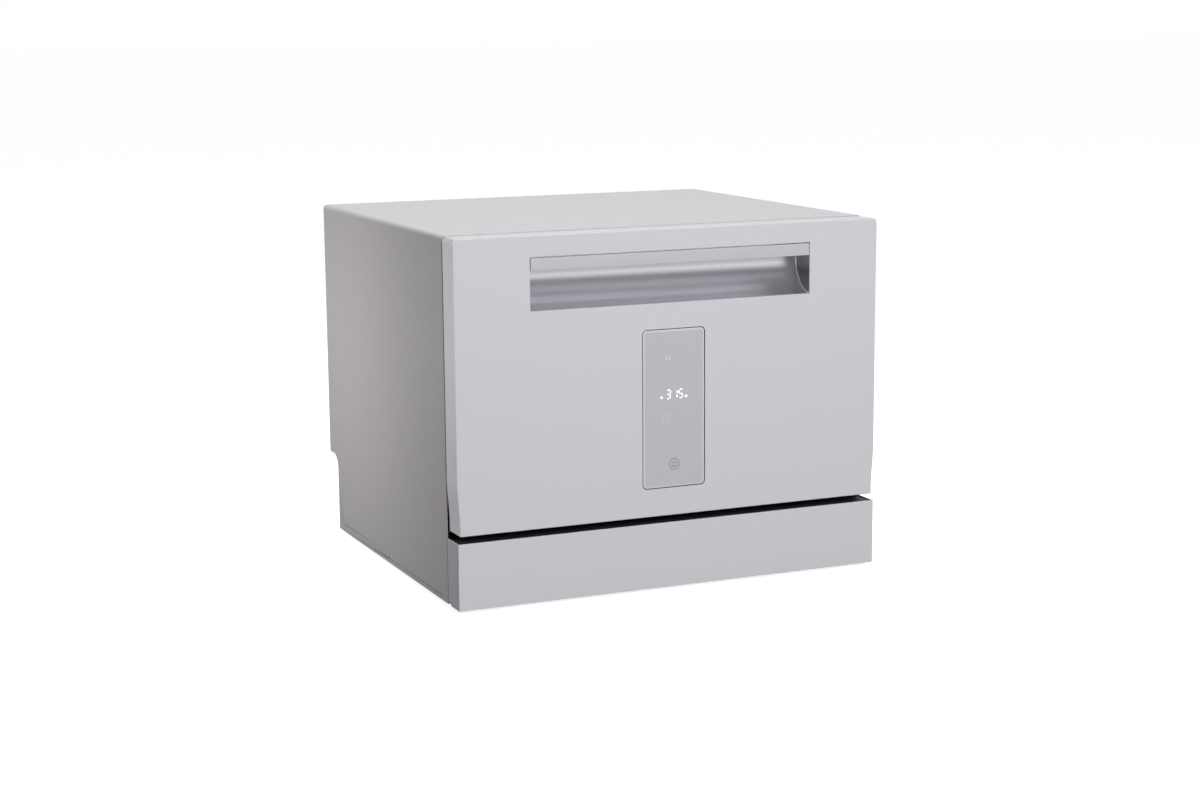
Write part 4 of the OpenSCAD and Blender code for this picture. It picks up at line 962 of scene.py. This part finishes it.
def touch_panel():
    lit = digit("3", -9.8, 235.3, 4.9, 10.0)
    lit += digit("1", -0.9, 235.3, 4.9, 9.6)
    lit += digit("5", 6.6, 235.3, 4.6, 10.0)
    lit += disc(-16.1, 237.0, 1.35) + disc(16.1, 236.6, 1.5)
    flat_piece("display_digits", lit, M["lit"])
    bars = []
    for x in (-10.0, -5.8):
        for z, thick in ((282.0, 1.6), (284.8, 1.4)):
            bars += stroke([(x - 0.9, z), (x + 0.9, z)], thick)
    flat_piece("programme_mark", bars, M["faint"])
    mark = []
    for i in range(10):
        mark += ring(-9.4, 211.8, 5.6, 0.5, 36 * i, 36 * i + 22, 4)
    mark += stroke([(-11.0, 214.4), (-11.0, 209.4)], 0.7) + ring(-9.6, 213.1, 1.5, 0.6, steps=16)
    flat_piece("option_mark", mark, M["faint"])
    power = ring(0.2, 155.5, 6.6, 0.75, steps=56) + ring(0.2, 155.5, 3.1, 0.8, 35, 325, 30)
    power += stroke([(0.2, 159.4), (0.2, 156.4)], 0.8)
    flat_piece("power_mark", power, M["print"])


# ------------------------------------------------------------------ camera, light and floor
def camera():
    cam = bpy.data.cameras.new("camera")
    cam.sensor_width = SENSOR
    cam.sensor_fit = "HORIZONTAL"
    cam.lens = LENS
    obj = placed("camera", cam)
    az, el, roll = (math.radians(a) for a in CAMERA_ANGLES)
    back = Vector((math.sin(az) * math.cos(el), -math.cos(az) * math.cos(el), math.sin(el)))
    right = (-back).cross(Vector((0, 0, 1))).normalized()
    up = right.cross(-back)
    r = right * math.cos(roll) + up * math.sin(roll)
    u = up * math.cos(roll) - right * math.sin(roll)
    x, y, z = CAMERA_PLACE
    obj.matrix_world = Matrix((
        (r.x, u.x, back.x, x), (r.y, u.y, back.y, y), (r.z, u.z, back.z, z), (0, 0, 0, 1)))
    bpy.context.scene.camera = obj


def area(name, place, target, size, power, mirrored=True):
    light = bpy.data.lights.new(name, "AREA")
    light.shape = "RECTANGLE"
    light.size, light.size_y = size
    light.energy = power
    obj = placed(name, light)
    obj.visible_glossy = mirrored
    obj.matrix_world = towards(Vector(target) - Vector(place), place, "-Z")


def math_node(tree, operation, a, b):
    node = tree.nodes.new("ShaderNodeMath")
    node.operation = operation
    tree.links.new(a, node.inputs[0])
    tree.links.new(b, node.inputs[1])
    return node.outputs[0]


def mix_shaders(tree, fac, first, second):
    """The first shader where fac is 0, and the second where it is 1."""
    mix = tree.nodes.new("ShaderNodeMixShader")
    for socket, source in zip(mix.inputs, (fac, first, second)):
        tree.links.new(source, socket)
    return mix.outputs[0]


def by_ray(tree, seen, mirrored, light):
    """Three shaders: for the camera, for what metal and glass see, and for the object's light."""
    path = tree.nodes.new("ShaderNodeLightPath")
    shiny = math_node(tree, "MAXIMUM", path.outputs["Is Glossy Ray"],
                      path.outputs["Is Transmission Ray"])
    rest = mix_shaders(tree, shiny, light, mirrored)
    return mix_shaders(tree, path.outputs["Is Camera Ray"], rest, seen)


def sky():
    """White behind the object. Metal also mirrors the studio's dim end, in front and low down."""
    world = bpy.data.worlds.new("studio")
    bpy.context.scene.world = world
    world.use_nodes = True
    tree = world.node_tree
    tree.nodes.clear()
    out = tree.nodes.new("ShaderNodeOutputWorld")
    coord = tree.nodes.new("ShaderNodeTexCoord")
    split = tree.nodes.new("ShaderNodeSeparateXYZ")
    tree.links.new(coord.outputs["Generated"], split.inputs[0])

    def background(strength, colour=(1, 1, 1)):
        node = tree.nodes.new("ShaderNodeBackground")
        node.inputs["Color"].default_value = (*colour, 1)
        node.inputs["Strength"].default_value = strength
        return node.outputs[0]

    def span(axis, a, b, low, high):
        """Low where the direction's part along the axis is under a, and high where over b."""
        node = tree.nodes.new("ShaderNodeMapRange")
        node.interpolation_type = "SMOOTHSTEP"
        for key, value in (("From Min", a), ("From Max", b), ("To Min", low), ("To Max", high)):
            node.inputs[key].default_value = value
        tree.links.new(split.outputs[axis], node.inputs["Value"])
        return node.outputs[0]

    # a band above the horizon, which on the right runs on up to the top
    rise = span("Z", -0.03, 0.42, 0.0, 1.0)
    band = math_node(tree, "MULTIPLY", rise, span("Z", 0.56, 0.62, 1.0, 0.0))
    right = math_node(tree, "MULTIPLY", span("X", 0.15, 0.50, 0.0, 0.75), rise)
    either = math_node(tree, "MAXIMUM", band, right)
    in_front = math_node(tree, "MULTIPLY", either, span("Y", -0.45, -0.1, 1.0, 0.0))
    white = background(1.0)
    mirrored = mix_shaders(tree, in_front, white, background(DIM_END))
    ambient = mix_shaders(tree, span("X", -0.75, 0.05, 1.0, 0.0),
                          background(AMBIENT, (0.97, 0.975, 1.0)),
                          background(AMBIENT_LEFT, (1.0, 0.975, 1.0)))
    tree.links.new(by_ray(tree, white, mirrored, ambient), out.inputs[0])


def floor():
    """A pale floor: white where the lamps reach it, and it keeps the object's shadow."""
    size = 40.0
    mesh = bpy.data.meshes.new("floor")
    square = [(-size, -size, 0), (size, -size, 0), (size, size, 0), (-size, size, 0)]
    mesh.from_pydata(square, [], [(0, 1, 2, 3)])
    obj = placed("floor", mesh)
    m = Nodes("pale_floor")
    m.tree.nodes.remove(m.bsdf)
    matte = m.add("ShaderNodeBsdfDiffuse", Color=(0.62, 0.62, 0.62, 1))
    glow = m.add("ShaderNodeEmission", Color=(1, 1, 1, 1), Strength=FLOOR_GLOW)
    both = m.add("ShaderNodeAddShader")
    m.link(matte.outputs[0], both.inputs[0])
    m.link(glow.outputs[0], both.inputs[1])
    bounce = m.add("ShaderNodeBsdfDiffuse", Color=(*FLOOR_BOUNCE, 1))
    mirrored = m.add("ShaderNodeEmission", Color=(1, 1, 1, 1), Strength=FLOOR_MIRRORED)
    m.link(by_ray(m.tree, both.outputs[0], mirrored.outputs[0], bounce.outputs[0]),
           m.out.inputs[0])
    mesh.materials.append(m.mat)


def studio():
    sky()
    floor()
    area("key", (0.10, -2.95, 1.5), (0, 0, 0.2), (1.7, 1.2), 84, mirrored=False)
    area("top", (-0.05, 0.75, 2.6), (0, 0, 0.4), (2.2, 2.2), 36)
    area("side", (-0.695, 0.20, 0.28), (-0.275, 0.20, 0.28), (0.3, 0.3), 1.15)


camera()
studio()
refined("door_skin", "door_panel", M["paint"], M["side_painted_light"], "door", door_edge)
glass_pane()
painted_shade_gaps()
grip_beads()
rack_wires()
lattice_basket()
coil_springs()
screws()
inlet_thread()
perforated_plate()
touch_panel()

scene = bpy.context.scene
scene.view_settings.view_transform = "Standard"
